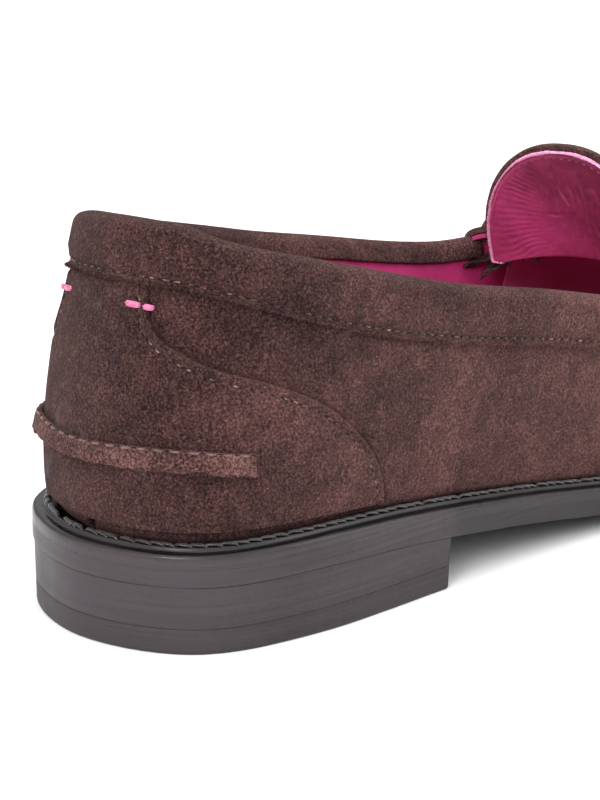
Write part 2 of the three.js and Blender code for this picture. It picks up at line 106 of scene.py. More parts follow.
def bend_between(p0, p1, p2, p3, w):
    """The Catmull-Rom curve from p1 (w = 0) to p2 (w = 1)."""
    v0, v1 = (p2 - p0) / 2, (p3 - p1) / 2
    return p1 + v0 * w + (3 * (p2 - p1) - 2 * v0 - v1) * w**2 + (2 * (p1 - p2) + v0 + v1) * w**3


def ring_curve(values):
    """A closed smooth curve through rows of values, read at u from 0 to 1."""
    rows = np.asarray(values, float)
    count = len(rows)

    def at(u):
        place = (np.asarray(u, float) % 1) * count
        i = np.floor(place).astype(int)
        return bend_between(*(rows[(i + k) % count] for k in (-1, 0, 1, 2)), (place - i)[..., None])

    return at


def even_edge():
    points = ring_curve(ROWS[:, :2])(np.arange(SECTIONS) / SECTIONS)
    for _ in range(4):
        middle = (np.roll(points, 1, 0) + np.roll(points, -1, 0)) / 2
        points = lerp(points, middle, 0.5 * smooth(165, 205, points[:, :1]))
    return ring_curve(points)


edge_xy = even_edge()
wall_form = ring_curve(ROWS[:, 2:])


def rise(x):
    return -HEEL_RISE * smooth(0, TREAD_START_X, x) + TOE_SPRING * np.maximum(0, x - TREAD_END_X) ** 2


def edge(u):
    """Sole edge in plan at u, and its outward direction."""
    step = 1e-3
    along = unit(edge_xy(u + step) - edge_xy(u - step))
    return edge_xy(u), np.stack([along[..., 1], -along[..., 0]], -1)


def sole_line(u, outside, z):
    """Points outside the sole edge by a distance, at the height of the welt's top plus z."""
    point, out = edge(u)
    place = point + out * np.asarray(outside, float)[..., None]
    return np.stack([place[..., 0], place[..., 1], SEAT + rise(point[..., 0]) + z], -1)


def wall(u, v):
    """Outside of the upper: u round the shoe, v from the welt (0) to the top edge (1)."""
    u, v = np.broadcast_arrays(np.asarray(u, float), np.asarray(v, float))
    point, out = edge(u)
    height, inset = np.moveaxis(wall_form(u), -1, 0)
    x = point[..., 0]
    turn = 0.5 + 0.75 * smooth(90, 165, x)
    rear = 1 - smooth(-20, 45, x)
    belly = (3.2 - 0.95 * rear) * (1 - 0.5 * smooth(60, 150, x))
    lean = (np.maximum(0, 1 - np.cos(v * turn)) / (1 - np.cos(turn))) ** (1 - 0.25 * rear)
    swell = np.sin(np.pi * np.clip(v, 0, 1) ** (0.8 - 0.18 * rear))
    place = point + out * (belly * swell - MARGIN - (inset - MARGIN) * lean)[..., None]
    return np.stack([place[..., 0], place[..., 1], SEAT + rise(x) + height * np.sin(v * turn) / np.sin(turn)], -1)


def crown(w, s):
    """Top of the forefoot: w is a station, as u on the outer side, s runs from the outer to the inner top edge."""
    w, s = np.broadcast_arrays(np.asarray(w, float), np.asarray(s, float))
    step = 1e-3
    outer, inner = wall(w, 1.0), wall(1 - w, 1.0)
    pull = 0.42 * np.linalg.norm(outer - inner, axis=-1, keepdims=True)
    rising = pull * unit(outer - wall(w, 1 - step))
    falling = pull * unit(wall(1 - w, 1 - step) - inner)
    s = s[..., None]
    return (outer * (2 * s**3 - 3 * s**2 + 1) + rising * (s**3 - 2 * s**2 + s)
            + inner * (3 * s**2 - 2 * s**3) + falling * (s**3 - s**2))


def offset(surface, a, b, depth):
    step = 2e-3
    out = unit(np.cross(surface(a + step, b) - surface(a - step, b), surface(a, b + step) - surface(a, b - step)))
    return surface(a, b) + out * np.asarray(depth, float)[..., None]


def skin(u, v, depth):
    return offset(wall, np.asarray(u, float), np.asarray(v, float), depth)


def crown_skin(w, s, depth):
    return offset(crown, np.asarray(w, float), np.asarray(s, float), depth)


def height_at(u):
    return wall_form(u)[..., 0]


def from_heel(u):
    u = np.asarray(u, float) % 1
    return np.minimum(u, 1 - u)


def lining_depth(u):
    near = from_heel(u)
    stiff = np.maximum(1 - smooth(0.13, 0.165, near), smooth(0.37, 0.4, near))
    return -(UPPER + 0.4 + (STIFFENER + GAP) * stiff)


# ------------------------------------------------------------------ noise and meshes
def noise(points, scale, seed=0):
    """Smooth value noise from -1 to 1 at points (in millimetres) for a grain of about 1/scale millimetres."""
    p = np.asarray(points, float) * scale + 37.7 * seed
    cell = np.floor(p).astype(np.int64)
    f = p - cell
    f = f * f * (3 - 2 * f)
    total = 0
    for corner in range(8):
        c = np.array([corner & 1, corner >> 1 & 1, corner >> 2 & 1])
        q = cell + c
        h = (q[..., 0] * 374761393 + q[..., 1] * 668265263 + q[..., 2] * 2147483647 + seed * 974711) & 0xFFFFFFFF
        h = (h ^ (h >> 13)) * 1274126177 & 0xFFFFFFFF
        value = ((h ^ (h >> 16)) & 0xFFFF) / 32767.5 - 1
        weight = np.prod(np.where(c == 1, f, 1 - f), axis=-1)
        total = total + value * weight
    return total


def fractal(points, scale, octaves=3, seed=0):
    return sum(noise(points, scale * 2**k, seed + k) / 2**k for k in range(octaves))


SHARP = 62  # degrees between faces that meet in a crisp edge


def make_object(name, points, faces, material):
    mesh = bpy.data.meshes.new(name)
    points = np.asarray(points, float).reshape(-1, 3) * 0.001
    mesh.from_pydata(points.tolist(), [], [list(map(int, face)) for face in faces])
    mesh.materials.append(material)
    mesh.validate()
    whole = bmesh.new()
    whole.from_mesh(mesh)
    bmesh.ops.recalc_face_normals(whole, faces=whole.faces)
    whole.to_mesh(mesh)
    whole.free()
    mesh.polygons.foreach_set("use_smooth", [True] * len(mesh.polygons))
    mesh.set_sharp_from_angle(angle=math.radians(SHARP))
    thing = bpy.data.objects.new(name, mesh)
    bpy.context.scene.collection.objects.link(thing)
    return thing


def grid_faces(rows, columns, close_rows=False, close_columns=False, start=0):
    i = np.arange(rows if close_rows else rows - 1)[:, None]
    j = np.arange(columns if close_columns else columns - 1)[None, :]
    i2, j2 = (i + 1) % rows, (j + 1) % columns
    return np.stack(np.broadcast_arrays(i * columns + j, i2 * columns + j, i2 * columns + j2, i * columns + j2),
                    -1).reshape(-1, 4) + start


def grid_object(name, points, material, close_rows=False, close_columns=False, caps=False):
    rows, columns = points.shape[:2]
    faces = grid_faces(rows, columns, close_rows, close_columns).tolist()
    if caps:
        faces.append(list(range(columns))[::-1])
        faces.append([(rows - 1) * columns + k for k in range(columns)])
    return make_object(name, points, faces, material)


# ------------------------------------------------------------------ camera, floor and light
def aim(azimuth, elevation, distance, target, roll):
    """A camera matrix: azimuth 0 looks along +Y, and roll turns the camera about its own view line."""
    a, e = math.radians(azimuth), math.radians(elevation)
    back = Vector((math.sin(a) * math.cos(e), -math.cos(a) * math.cos(e), math.sin(e)))
    right = (-back).cross(Vector((0, 0, 1))).normalized()
    up = right.cross(-back)
    r = math.radians(roll)
    right, up = math.cos(r) * right + math.sin(r) * up, math.cos(r) * up - math.sin(r) * right
    turn = Matrix((right, up, back)).transposed().to_4x4()
    return Matrix.Translation(Vector(target) + back * distance) @ turn


camera_data = bpy.data.cameras.new("camera")
camera_data.lens = 108.08
camera_data.sensor_width = 36
camera = bpy.data.objects.new("camera", camera_data)
camera.matrix_world = aim(-45.966, 15.981, 0.500289, (0.027899, 0, 0.035948), 1.181)
bpy.context.scene.collection.objects.link(camera)
bpy.context.scene.camera = camera


class Shader:
    """A material on one Principled shader, with short ways to add its nodes."""

    def __init__(self, name, **constants):
        self.material = bpy.data.materials.new(name)
        self.material.use_nodes = True
        self.tree = self.material.node_tree
        self.surface = self.tree.nodes["Principled BSDF"]
        for key, value in constants.items():
            self.surface.inputs[key.replace("_", " ")].default_value = value

    def add(self, kind, settings=None, **inputs):
        made = self.tree.nodes.new("ShaderNode" + kind)
        for key, value in (settings or {}).items():
            setattr(made, key, value)
        for key, value in inputs.items():
            socket = made.inputs[int(key[1:]) if key[0] == "i" and key[1:].isdigit() else key.replace("_", " ")]
            if isinstance(value, bpy.types.NodeSocket):
                self.tree.links.new(value, socket)
            else:
                socket.default_value = value
        return made

    def link(self, output, name):
        self.tree.links.new(output, self.surface.inputs[name])

    def place(self, which="Object"):
        return self.add("TexCoord").outputs[which]

    def noise(self, scale, detail=2.0, vector=None, roughness=0.5, distortion=0.0):
        return self.add("TexNoise", Vector=vector or self.place(), Scale=scale, Detail=detail, Roughness=roughness,
                        Distortion=distortion).outputs["Fac"]

    def axis(self, which, space="Object"):
        return self.add("SeparateXYZ", Vector=self.place(space)).outputs[which]

    def fade(self, value, low, high):
        """0 below low and 1 above high, with a smooth change between them."""
        return self.add("MapRange", {"interpolation_type": "SMOOTHSTEP"}, Value=value, From_Min=low,
                        From_Max=high).outputs[0]

    def math(self, operation, a, b):
        return self.add("Math", {"operation": operation}, i0=a, i1=b).outputs[0]

    def weigh(self, *terms):
        """The sum of factor outputs, each with its weight."""
        total = None
        for output, weight in terms:
            part = self.math("MULTIPLY", output, weight)
            total = part if total is None else self.math("ADD", total, part)
        return total

    def ramp(self, factor, *stops):
        ramp = self.add("ValToRGB", Fac=factor)
        elements = ramp.color_ramp.elements
        while len(elements) < len(stops):
            elements.new(0.5)
        for element, (position, color) in zip(elements, stops):
            element.position = position
            element.color = (*color, 1)
        return ramp.outputs["Color"]

    def bump(self, height, distance, strength=1.0, normal=None):
        made = self.add("Bump", Height=height, Distance=distance, Strength=strength)
        if normal is not None:
            self.tree.links.new(normal, made.inputs["Normal"])
        return made.outputs[0]


def suede(name, dark, light, patch=42.0, scuffs=0.0):
    """Brushed suede: broad patches of turned nap, smaller marks and the grain of single fibres. It is a little
    lighter low down and towards the toe. scuffs adds pale rubbed marks at the heel."""
    m = Shader(name, Roughness=0.95, Specular_IOR_Level=0.08, Sheen_Weight=0.10, Sheen_Roughness=0.45,
               Sheen_Tint=(0.85, 0.62, 0.58, 1))
    lighter_low_forward = m.weigh((m.axis("X"), 1.5), (m.axis("Z"), -2.0))
    patches = m.noise(patch, 3.0, distortion=0.7)
    marks = m.noise(190, 4.0, roughness=0.65, distortion=0.5)
    fibres = m.noise(1900, 4.0, roughness=0.9)
    shade = m.weigh((lighter_low_forward, 1.0), (patches, 0.75), (marks, 0.60), (fibres, 3.6))
    middle = tuple(0.42 * a + 0.58 * b for a, b in zip(light, dark))
    # the fine fibre speckle is partly grain and partly painted highlight; its lightest stop is a painted glint on
    # single fibres
    painted_glint = tuple(min(1, 1.9 * c) for c in light)
    colour = m.ramp(m.math("ADD", shade, -1.93), (0.12, dark), (0.46, middle), (0.82, light), (1.0, painted_glint))
    if scuffs:
        rubbed = m.ramp(m.noise(105, 3.0, distortion=1.2), (0.60, (0, 0, 0)), (0.74, (scuffs,) * 3))
        mask = m.math("MULTIPLY", rubbed, m.fade(m.axis("X"), -0.020, -0.029))
        colour = m.add("MixRGB", Fac=mask, Color1=colour, Color2=(0.13, 0.13, 0.16, 1)).outputs[0]
    m.link(colour, "Base Color")
    m.link(m.bump(m.weigh((fibres, 1.0), (marks, 0.9)), 0.0007, 0.8), "Normal")
    return m.material


def lining_leather(name, dark, light, aside=0.0):
    """Dyed smooth leather; aside paints light on it: lighter towards the inner side of the shoe, per metre, a painted
    light gradient.
    """
    m = Shader(name, Roughness=0.5, Specular_IOR_Level=0.35)
    tone = m.noise(60, 3.0)
    pores = m.add("TexVoronoi", Vector=m.place(), Scale=1500).outputs["Distance"]
    creases = m.noise(420, 3.0, roughness=0.6)
    # the Y term is a painted light gradient
    shade = m.weigh((tone, 0.8), (creases, 0.25), (m.axis("Y"), aside))
    m.link(m.ramp(shade, (0.35, dark), (0.75, light)), "Base Color")
    m.link(m.bump(m.weigh((pores, 0.5), (creases, 0.8)), 0.0002, 0.4), "Normal")
    return m.material


def thread(name, color, roughness=0.55):
    m = Shader(name, Roughness=roughness, Sheen_Weight=0.2)
    twist = m.noise(1600, 1.0)
    m.link(m.ramp(twist, (0.35, tuple(0.55 * c for c in color)), (0.6, color)), "Base Color")
    m.link(m.bump(twist, 0.0003, 0.5), "Normal")
    return m.material


def glint_thread():
    """Fine brown thread; a stitch here and there has a painted glint, light colour standing in for a highlight."""
    m = Shader("glint_thread", Roughness=0.35)
    which = m.weigh((m.noise(800, 2.0), 0.8), (m.noise(1800, 2.0), 0.35))
    m.link(m.ramp(which, (0.50, (0.030, 0.016, 0.015)), (0.60, (0.075, 0.044, 0.036)), (0.72, (0.34, 0.235, 0.165))),
           "Base Color")
    m.link(m.bump(m.noise(1600, 1.0), 0.0003, 0.5), "Normal")
    return m.material


def waxed_edge(name, dark, light, roughness=0.42, streaks=0.5, forward_shade=0.0, top=0.0):
    """Painted and waxed leather edge, with fine streaks along it. The last two arguments paint shade: the first
    darkens it from the heel's breast forwards, the second darkens what faces up. The heel's back gets a little
    painted highlight."""
    m = Shader(name, Roughness=roughness, Specular_IOR_Level=0.32)
    grain = m.noise(1.0, 4.0, m.add("Mapping", Vector=m.place(), Scale=(22, 22, 1700)).outputs[0], roughness=0.65)
    fine = m.noise(900, 3.0, roughness=0.7)
    broad = m.noise(45, 3.0)
    # painted shade ahead of the heel's breast and on faces that look up, painted highlight on the heel's back
    front, back = m.fade(m.axis("X"), 0.036, 0.046), m.fade(m.axis("X"), 0.0, -0.034)
    upwards = m.fade(m.axis("Z", "Normal"), 0.35, 0.8)
    shade = m.weigh((grain, 0.55), (fine, 0.25), (broad, 0.35), (front, -forward_shade), (back, 0.16), (upwards, -top))
    m.link(m.ramp(m.math("ADD", shade, -0.07), (0.0, tuple(0.18 * c for c in dark)), (0.36, dark), (0.66, light)),
           "Base Color")
    m.link(m.ramp(broad, (0.35, (roughness - 0.1,) * 3), (0.65, (roughness + 0.12,) * 3)), "Roughness")
    m.link(m.bump(grain, 0.00012, streaks, m.bump(m.noise(250, 2.0), 0.0002, 0.35)), "Normal")
    return m.material


def plain_grain(name, dark, light, scale, roughness=0.8, metallic=0.0):
    m = Shader(name, Roughness=roughness, Metallic=metallic)
    grain = m.noise(scale, 4.0)
    m.link(m.ramp(grain, (0.35, dark), (0.65, light)), "Base Color")
    m.link(m.bump(grain, 0.0003, 0.4), "Normal")
    return m.material


BROWN_TONES = (0.0075, 0.0032, 0.0042), (0.112, 0.051, 0.047)
SUEDE = suede("suede", *BROWN_TONES)
SUEDE_WORN = suede("suede_worn", *BROWN_TONES, scuffs=0.4)
SUEDE_DARK = suede("suede_dark", (0.008, 0.0035, 0.004), (0.046, 0.016, 0.018))
LINING_PINK = lining_leather("lining", (0.34, 0.022, 0.105), (0.56, 0.045, 0.20))
WAX_TONES = (0.0205, 0.0155, 0.0175), (0.046, 0.037, 0.042)
SOLE_BLACK = waxed_edge("sole_edge", *WAX_TONES, forward_shade=0.2)
LIFT_BLACK = waxed_edge("lift_edge", (0.0185, 0.0140, 0.0155), (0.041, 0.033, 0.037), 0.5)
WELT_BLACK = waxed_edge("welt_wax", *WAX_TONES, 0.30, 0.4, forward_shade=0.2, top=0.6)
PINK_EDGE = plain_grain("pink_edge", (0.66, 0.20, 0.40), (0.86, 0.36, 0.56), 1500)
PINK_THREAD = thread("pink_thread", (0.85, 0.18, 0.38), 0.4)
BROWN_THREAD = thread("brown_thread", (0.085, 0.045, 0.040))
GLINT_THREAD = glint_thread()
WAX_THREAD = thread("waxed_thread", (0.026, 0.020, 0.022), 0.17)
SUEDE_LIGHT = suede("suede_trim", (0.012, 0.0055, 0.006), (0.19, 0.090, 0.082), 70.0)
SOCK_PINK = lining_leather("sock", (0.22, 0.016, 0.066), (0.38, 0.030, 0.13))
# the tongue lining gets a painted light gradient, lighter towards the inner side
TONGUE_PINK = lining_leather("tongue_lining", (0.15, 0.012, 0.042), (0.42, 0.042, 0.145), 9.0)
# the vamp lining is the same pink leather made much lighter: painted light where it lies in shade inside the shoe
VAMP_PINK_PAINTED_LIGHT = lining_leather("vamp_lining", (0.70, 0.16, 0.34), (0.90, 0.24, 0.48))
STRIP_THREAD = thread("strip_thread", (0.16, 0.085, 0.068))
TONGUE_THREAD = thread("tongue_thread", (0.34, 0.045, 0.14))
FOAM_LATEX = plain_grain("latex_foam", (0.60, 0.52, 0.38), (0.72, 0.65, 0.50), 900)
FIBRE = plain_grain("fibre_board", (0.22, 0.13, 0.06), (0.40, 0.27, 0.15), 700)
CORK = plain_grain("cork", (0.18, 0.09, 0.035), (0.42, 0.25, 0.12), 420)
STEEL = plain_grain("steel", (0.30, 0.31, 0.32), (0.48, 0.49, 0.50), 220, 0.35, 1.0)


# near-black colour: painted shade in the needle holes
def hole_shadow():
    m = Shader("stitch_hole_shade", Roughness=1.0)
    m.link(m.ramp(m.noise(900, 2.0), (0.3, (0.002, 0.0015, 0.0015)), (0.7, (0.008, 0.005, 0.005))), "Base Color")
    return m.material


HOLE_SHADE = hole_shadow()


def floor():
    m = Shader("floor_paper", Roughness=0.9)
    m.link(m.ramp(m.noise(3.0, 2.0), (0.0, (0.80,) * 3), (1.0, (0.84,) * 3)), "Base Color")
    size = 12.0  # metres from the middle to each side
    mesh = bpy.data.meshes.new("floor")
    mesh.from_pydata([(-size, -size, 0), (size, -size, 0), (size, size, 0), (-size, size, 0)], [], [(0, 1, 2, 3)])
    mesh.materials.append(m.material)
    thing = bpy.data.objects.new("floor", mesh)
    bpy.context.scene.collection.objects.link(thing)


def lamp(name, place, target, size, power):
    data = bpy.data.lights.new(name, "AREA")
    data.shape = "RECTANGLE"
    data.size = data.size_y = size
    data.energy = power
    thing = bpy.data.objects.new(name, data)
    direction = Vector(target) - Vector(place)
    thing.matrix_world = Matrix.Translation(Vector(place)) @ direction.to_track_quat("-Z", "Y").to_matrix().to_4x4()
    bpy.context.scene.collection.objects.link(thing)


def studio():
    """A white room, dimmer near the floor, with soft lamps above, at the side and behind the heel."""
    world = bpy.data.worlds.new("studio")
    world.use_nodes = True
    tree = world.node_tree
    background = tree.nodes["Background"]
    background.inputs["Color"].default_value = (1, 1, 1, 1)
    height = tree.nodes.new("ShaderNodeSeparateXYZ")
    tree.links.new(tree.nodes.new("ShaderNodeTexCoord").outputs["Generated"], height.inputs[0])
    dim = tree.nodes.new("ShaderNodeMapRange")
    dim.interpolation_type = "SMOOTHSTEP"
    tree.links.new(height.outputs["Z"], dim.inputs["Value"])
    for name, value in (("From Min", 0.0), ("From Max", 0.5), ("To Min", 0.12), ("To Max", 1.2)):
        dim.inputs[name].default_value = value
    tree.links.new(dim.outputs[0], background.inputs["Strength"])
    bpy.context.scene.world = world
    bpy.context.scene.view_settings.view_transform = "Standard"
    middle = (0.09, 0, 0.04)
    lamp("overhead", (0.1, 0.0, 1.1), middle, 1.3, 12)
    lamp("side", (0.75, -0.85, 0.55), middle, 0.7, 5)
    lamp("front", (-0.64, -0.34, 0.46), middle, 0.26, 3.6)


floor()
studio()


# ------------------------------------------------------------------ building blocks
def leaf_faces(rows, columns):
    """Faces of a closed leaf: two grids of the same size, one after the other, and the strip between them."""
    count = rows * columns
    index = np.arange(count).reshape(rows, columns)
    border = np.concatenate([index[0, :-1], index[:-1, -1], index[-1, :0:-1], index[:0:-1, 0]])
    after = np.roll(border, -1)
    return np.concatenate([grid_faces(rows, columns), grid_faces(rows, columns, start=count)[:, ::-1],
                           np.stack([border, after, after + count, border + count], -1)])


def two_sides(first, second):
    return np.concatenate([first.reshape(-1, 3), second.reshape(-1, 3)])


def shell(name, outside, inside, material):
    """A closed leaf between two grids of points of the same size."""
    return make_object(name, two_sides(outside, inside), leaf_faces(*outside.shape[:2]), material)


def joined(parts):
    """One list of points and faces from several."""
    points, faces, start = [], [], 0
    for some_points, some_faces in parts:
        points.append(np.asarray(some_points).reshape(-1, 3))
        faces += [[start + k for k in face] for face in some_faces]
        start += len(points[-1])
    return np.concatenate(points), faces


def along_path(path, pitch):
    """Places at an even pitch along a line of points, as fractional indexes, with the length of one index at each
    of them, and the true pitch."""
    lengths = lengths_along(path)
    count = max(1, round(lengths[-1] / pitch))
    step = lengths[-1] / count
    places = np.interp((np.arange(count) + 0.5) * step, lengths, np.arange(len(path)))
    return places, np.interp(places, np.arange(len(path)), np.gradient(lengths)), step


def at_index(values, place):
    i = np.clip(np.floor(place).astype(int), 0, len(values) - 2)
    w = (place - i)[..., None]
    return values[i] * (1 - w) + values[i + 1] * w


def tube_faces(count, rings, sides):
    """Faces of separate closed tubes of the same size, one after another."""
    size = rings * sides
    one = grid_faces(rings, sides, close_columns=True)
    faces = (one[None] + (np.arange(count) * size)[:, None, None]).reshape(-1, 4).tolist()
    for start in range(0, count * size, size):
        faces.append([start + j for j in range(sides)][::-1])
        faces.append([start + size - sides + j for j in range(sides)])
    return faces


def stitch_mesh(path, normals, pitch, length, radius, sink=0.1, hump=0.12, slant=0.0, flat=1.0, sides=8, rings=9,
                strands=0, twist=0.0, wobble=0.0, seed=1):
    """Thread stitches lying along a line of points on a surface with the given normals."""
    places, index_length, _ = along_path(path, pitch)
    random = np.random.default_rng(seed)
    t = np.linspace(-1, 1, rings)
    shift = random.normal(0, wobble, len(places))
    where = places[:, None] + t[None, :] * (0.5 * length) / index_length[:, None] + (shift / index_length)[:, None]
    where = where - np.minimum(where[:, :1], 0) - np.maximum(where[:, -1:] - (len(path) - 1.001), 0)
    centre = at_index(path, where)
    normal = unit(at_index(normals, where))
    tangent = unit(np.gradient(centre, axis=1))
    side = unit(np.cross(tangent, normal))
    centre = centre + normal * (hump * (1 - t**2) - sink * t**4)[None, :, None] + side * (slant * t)[None, :, None]
    tangent = unit(np.gradient(centre, axis=1))
    side = unit(np.cross(tangent, normal))
    lift = np.cross(side, tangent)
    angle = ring_angles(sides)
    body = radius * np.sqrt(np.maximum(0.03, 1 - np.abs(t) ** 3.5))
    ring = body[:, None] * np.ones(sides)
    if strands:
        ring = ring * (1 + 0.12 * np.cos(strands * (angle[None, :] + twist * t[:, None])))
    points = (centre[:, :, None, :]
              + side[:, :, None, :] * (ring * np.cos(angle))[None, :, :, None]
              + lift[:, :, None, :] * (flat * ring * np.sin(angle))[None, :, :, None])
    return points.reshape(-1, 3), tube_faces(len(places), rings, sides)


HOLE_RAISE, HOLE_DEPTH, HOLE_SIDES = 0.05, 0.25, 8


def hole_mesh(path, normals, pitch, size, stretch):
    """Small dark cups between the stitches of a row, on the same pitch: painted shade of the needle holes."""
    places, index_length, step = along_path(path, pitch)
    places = np.concatenate([[places[0] - 0.5 * step / index_length[0]], places + 0.5 * step / index_length])
    places = np.clip(places, 0, len(path) - 1.001)
    centre = at_index(path, places)
    normal = unit(at_index(normals, places))
    tangent = unit(at_index(np.gradient(path, axis=0), places))
    side = unit(np.cross(tangent, normal))
    angle = ring_angles(HOLE_SIDES)
    rim = (centre[:, None] + normal[:, None] * HOLE_RAISE + size * (
        stretch * tangent[:, None] * np.cos(angle)[:, None] + side[:, None] * np.sin(angle)[:, None]))
    low = rim - normal[:, None] * (HOLE_RAISE + HOLE_DEPTH)
    one = [[j, (j + 1) % HOLE_SIDES, HOLE_SIDES + (j + 1) % HOLE_SIDES, HOLE_SIDES + j] for j in range(HOLE_SIDES)]
    one += [list(range(HOLE_SIDES))[::-1], [HOLE_SIDES + j for j in range(HOLE_SIDES)]]
    faces = [[k * 2 * HOLE_SIDES + j for j in face] for k in range(len(places)) for face in one]
    return np.concatenate([rim, low], 1).reshape(-1, 3), faces


def seam(name, path, normals, pitch, length, radius, thread_material, hole, hole_stretch, body="shoe", **more):
    """A row of stitches, with the painted shade of its needle holes as a second material of the same piece."""
    stitches = stitch_mesh(path, normals, pitch, length, radius, **more)
    holes = hole_mesh(path, normals, pitch, hole, hole_stretch)
    thing = make_object(name, *joined([stitches, holes]), thread_material)
    thing.data.materials.append(HOLE_SHADE)
    slots = np.zeros(len(thing.data.polygons), np.int32)
    slots[len(stitches[1]):] = 1
    thing.data.polygons.foreach_set("material_index", slots)
    settle(thing, "thread", body=body)


def skin_line(u, v, depth):
    """A line on the upper and its outward normals."""
    low, high = skin(u, v, depth), skin(u, v, np.asarray(depth) + 0.5)
    return low, unit(high - low)


def settle(thing, slot, *nodes, body="shoe"):
    """Gives a piece its body and hides the CAD nodes that it stands for. slot is not used."""
    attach(thing, body)
    if nodes:
        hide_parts(*nodes)
    return thing


# ------------------------------------------------------------------ upper: quarters and linings
FOOT_CLEAR = 0.35
PANEL_FACE, EDGE_ROUND = -0.12, 0.5  # of the suede panels: depth of the outer face, and how far its edges turn in
QUARTER_END, QUARTER_TOP = 0.283, 0.965
VAMP_START = QUARTER_END + 0.004


def crowd(count, ends=0.12):
    """Numbers from 0 to 1 that stand closer together at both ends."""
    t = np.linspace(0, 1, count)
    return t - ends * np.sin(2 * np.pi * t) / np.pi


def quarter(name, u_from, u_to, seed):
    """A suede panel of the wall, with softly uneven faces and rounded cut edges."""
    columns, rows = 170, 52
    u = lerp(u_from, u_to, crowd(columns, 0.02))[:, None]
    low = FOOT_CLEAR / height_at(u)
    v = lerp(low, QUARTER_TOP, crowd(rows, 0.05)[None, :])
    bumps = 0.12 * fractal(skin(u, v, 0 * v), 1 / 24, 3, seed)
    near = np.minimum(np.minimum(v - low, QUARTER_TOP - v) * height_at(u),
                      to_ends(columns, abs(u_to - u_from) * U_MM))
    outside = skin(u, v, PANEL_FACE + bumps - EDGE_ROUND * (1 - swell_in(near)))
    return shell(name, outside, skin(u, v, PANEL_FACE - UPPER + 0 * v), SUEDE)


settle(quarter("quarter_outer_suede", 0.0015, QUARTER_END, 3), "suede", "quarter_outer")
settle(quarter("quarter_inner_suede", 0.9985, 1 - QUARTER_END, 8), "suede", "quarter_inner")


def lining_wall(name, u_from, u_to, high, columns, rows, seed, material=LINING_PINK):
    """Leather lining of the wall. Its face towards the foot is smooth with a few soft folds."""
    u = np.linspace(u_from, u_to, columns)[:, None]
    low = FOOT_CLEAR / height_at(u)
    v = lerp(low, high(u) if callable(high) else high, np.linspace(0, 1, rows)[None, :])
    base = skin(u, v, 0 * v)
    folds = 0.16 * fractal(base * [1, 1, 0.35], 1 / 16, 3, seed) * smooth(0, 0.12, v)
    depth = lining_depth(u)
    outside = skin(u, v, depth + 0 * v)
    inside = skin(u, v, depth - LINING + folds - 0.05)
    return shell(name, outside, inside, material)


settle(lining_wall("quarter_lining_leather", 0.0006 - VAMP_START, VAMP_START - 0.0006, QUARTER_TOP, 300, 34, 5),
       "lining_leather", "quarter_lining")
# its much lighter pink is painted light
settle(lining_wall("vamp_lining_leather", VAMP_START, 1 - VAMP_START, lambda u: 1 - 0.5 / height_at(u), 240, 26, 6,
                   VAMP_PINK_PAINTED_LIGHT), "lining_leather", "vamp_lining")


# ------------------------------------------------------------------ heel counter
# Half of the counter's outline: u and v down its seam, from under the collar to the welt.
COUNTER_SEAM = np.array([
    (0.0252, 0.815), (0.0257, 0.79), (0.0262, 0.755), (0.0268, 0.715), (0.0282, 0.688), (0.0306, 0.663),
    (0.035, 0.636), (0.043, 0.611), (0.053, 0.589), (0.0645, 0.572), (0.076, 0.5585), (0.087, 0.539),
    (0.0965, 0.510), (0.105, 0.472), (0.1125, 0.417), (0.1185, 0.354), (0.1235, 0.284), (0.1273, 0.205),
    (0.1298, 0.13), (0.1312, 0.06),
])
TRIM_FACE = GAP + TRIM


def resample(points, count, scale=(1.0, 1.0)):
    """Points at even steps along a smooth line through the given ones; scale turns their units into lengths."""
    points = np.asarray(points, float)
    last = len(points) - 1
    w = np.linspace(0, 1, 12, endpoint=False)[:, None]
    fine = [bend_between(points[max(0, i - 1)], points[i], points[i + 1], points[min(last, i + 2)], w)
            for i in range(last)]
    fine = np.concatenate(fine + [points[-1:]])
    lengths = lengths_along(fine * scale)
    wanted = np.linspace(0, lengths[-1], count)
    return np.stack([np.interp(wanted, lengths, fine[:, k]) for k in range(fine.shape[1])], -1)


counter_line = resample(COUNTER_SEAM, 110, WALL_SCALE)


def seam_distance(u, v):
    """Rough distance in millimetres inside the counter's seam."""
    line = counter_line * WALL_SCALE
    here = np.stack([np.abs(u) * U_MM, v * V_MM], -1)
    best = np.full(here.shape[:-1], 1e9)
    for a, b in zip(line[:-1], line[1:]):
        ab = b - a
        t = np.clip(((here - a) @ ab) / (ab @ ab), 0, 1)
        best = np.minimum(best, np.linalg.norm(here - a - t[..., None] * ab, axis=-1))
    return best


COUNTER_STITCH = 2.1  # of the stitches, inside the seam's edge


def inner_shift(v):
    """How much further round the seam runs on the inner side, near the top."""
    return 0.0095 * smooth(0.54, 0.66, v)


def heel_counter():
    half = counter_line[::-1]
    columns = 150
    across = np.sin(np.linspace(-math.pi / 2, math.pi / 2, columns)) * 0.35 + 0.65 * np.linspace(-1, 1, columns)
    u = half[:, :1] * across[None, :]
    v = np.broadcast_to(half[:, 1:], u.shape).copy()
    inside_by = seam_distance(u, v)
    u = u - inner_shift(v) * smooth(0, 0.02, -u)
    base = skin(u, v, 0 * v)
    face = TRIM_FACE + 0.12 * fractal(base, 1 / 24, 3, 21)
    face -= 0.34 * dip(inside_by, COUNTER_STITCH, 0.55)
    face += 0.10 * dip(inside_by, 0.9, 0.5)
    frayed = 0.5 + 0.5 * noise(base, 1.1, 4)
    rounding = np.clip(1 - inside_by / 0.75, 0, 1) ** 2
    face -= rounding * (0.70 + 0.30 * frayed)
    face -= 0.5 * smooth(0.79, 0.805, v)
    outside = skin(u, v, face)
    inside = skin(u, v, 0.12 + 0 * v)
    return shell("heel_counter_suede", outside, inside, SUEDE_WORN)


settle(heel_counter(), "suede", "heel_counter")


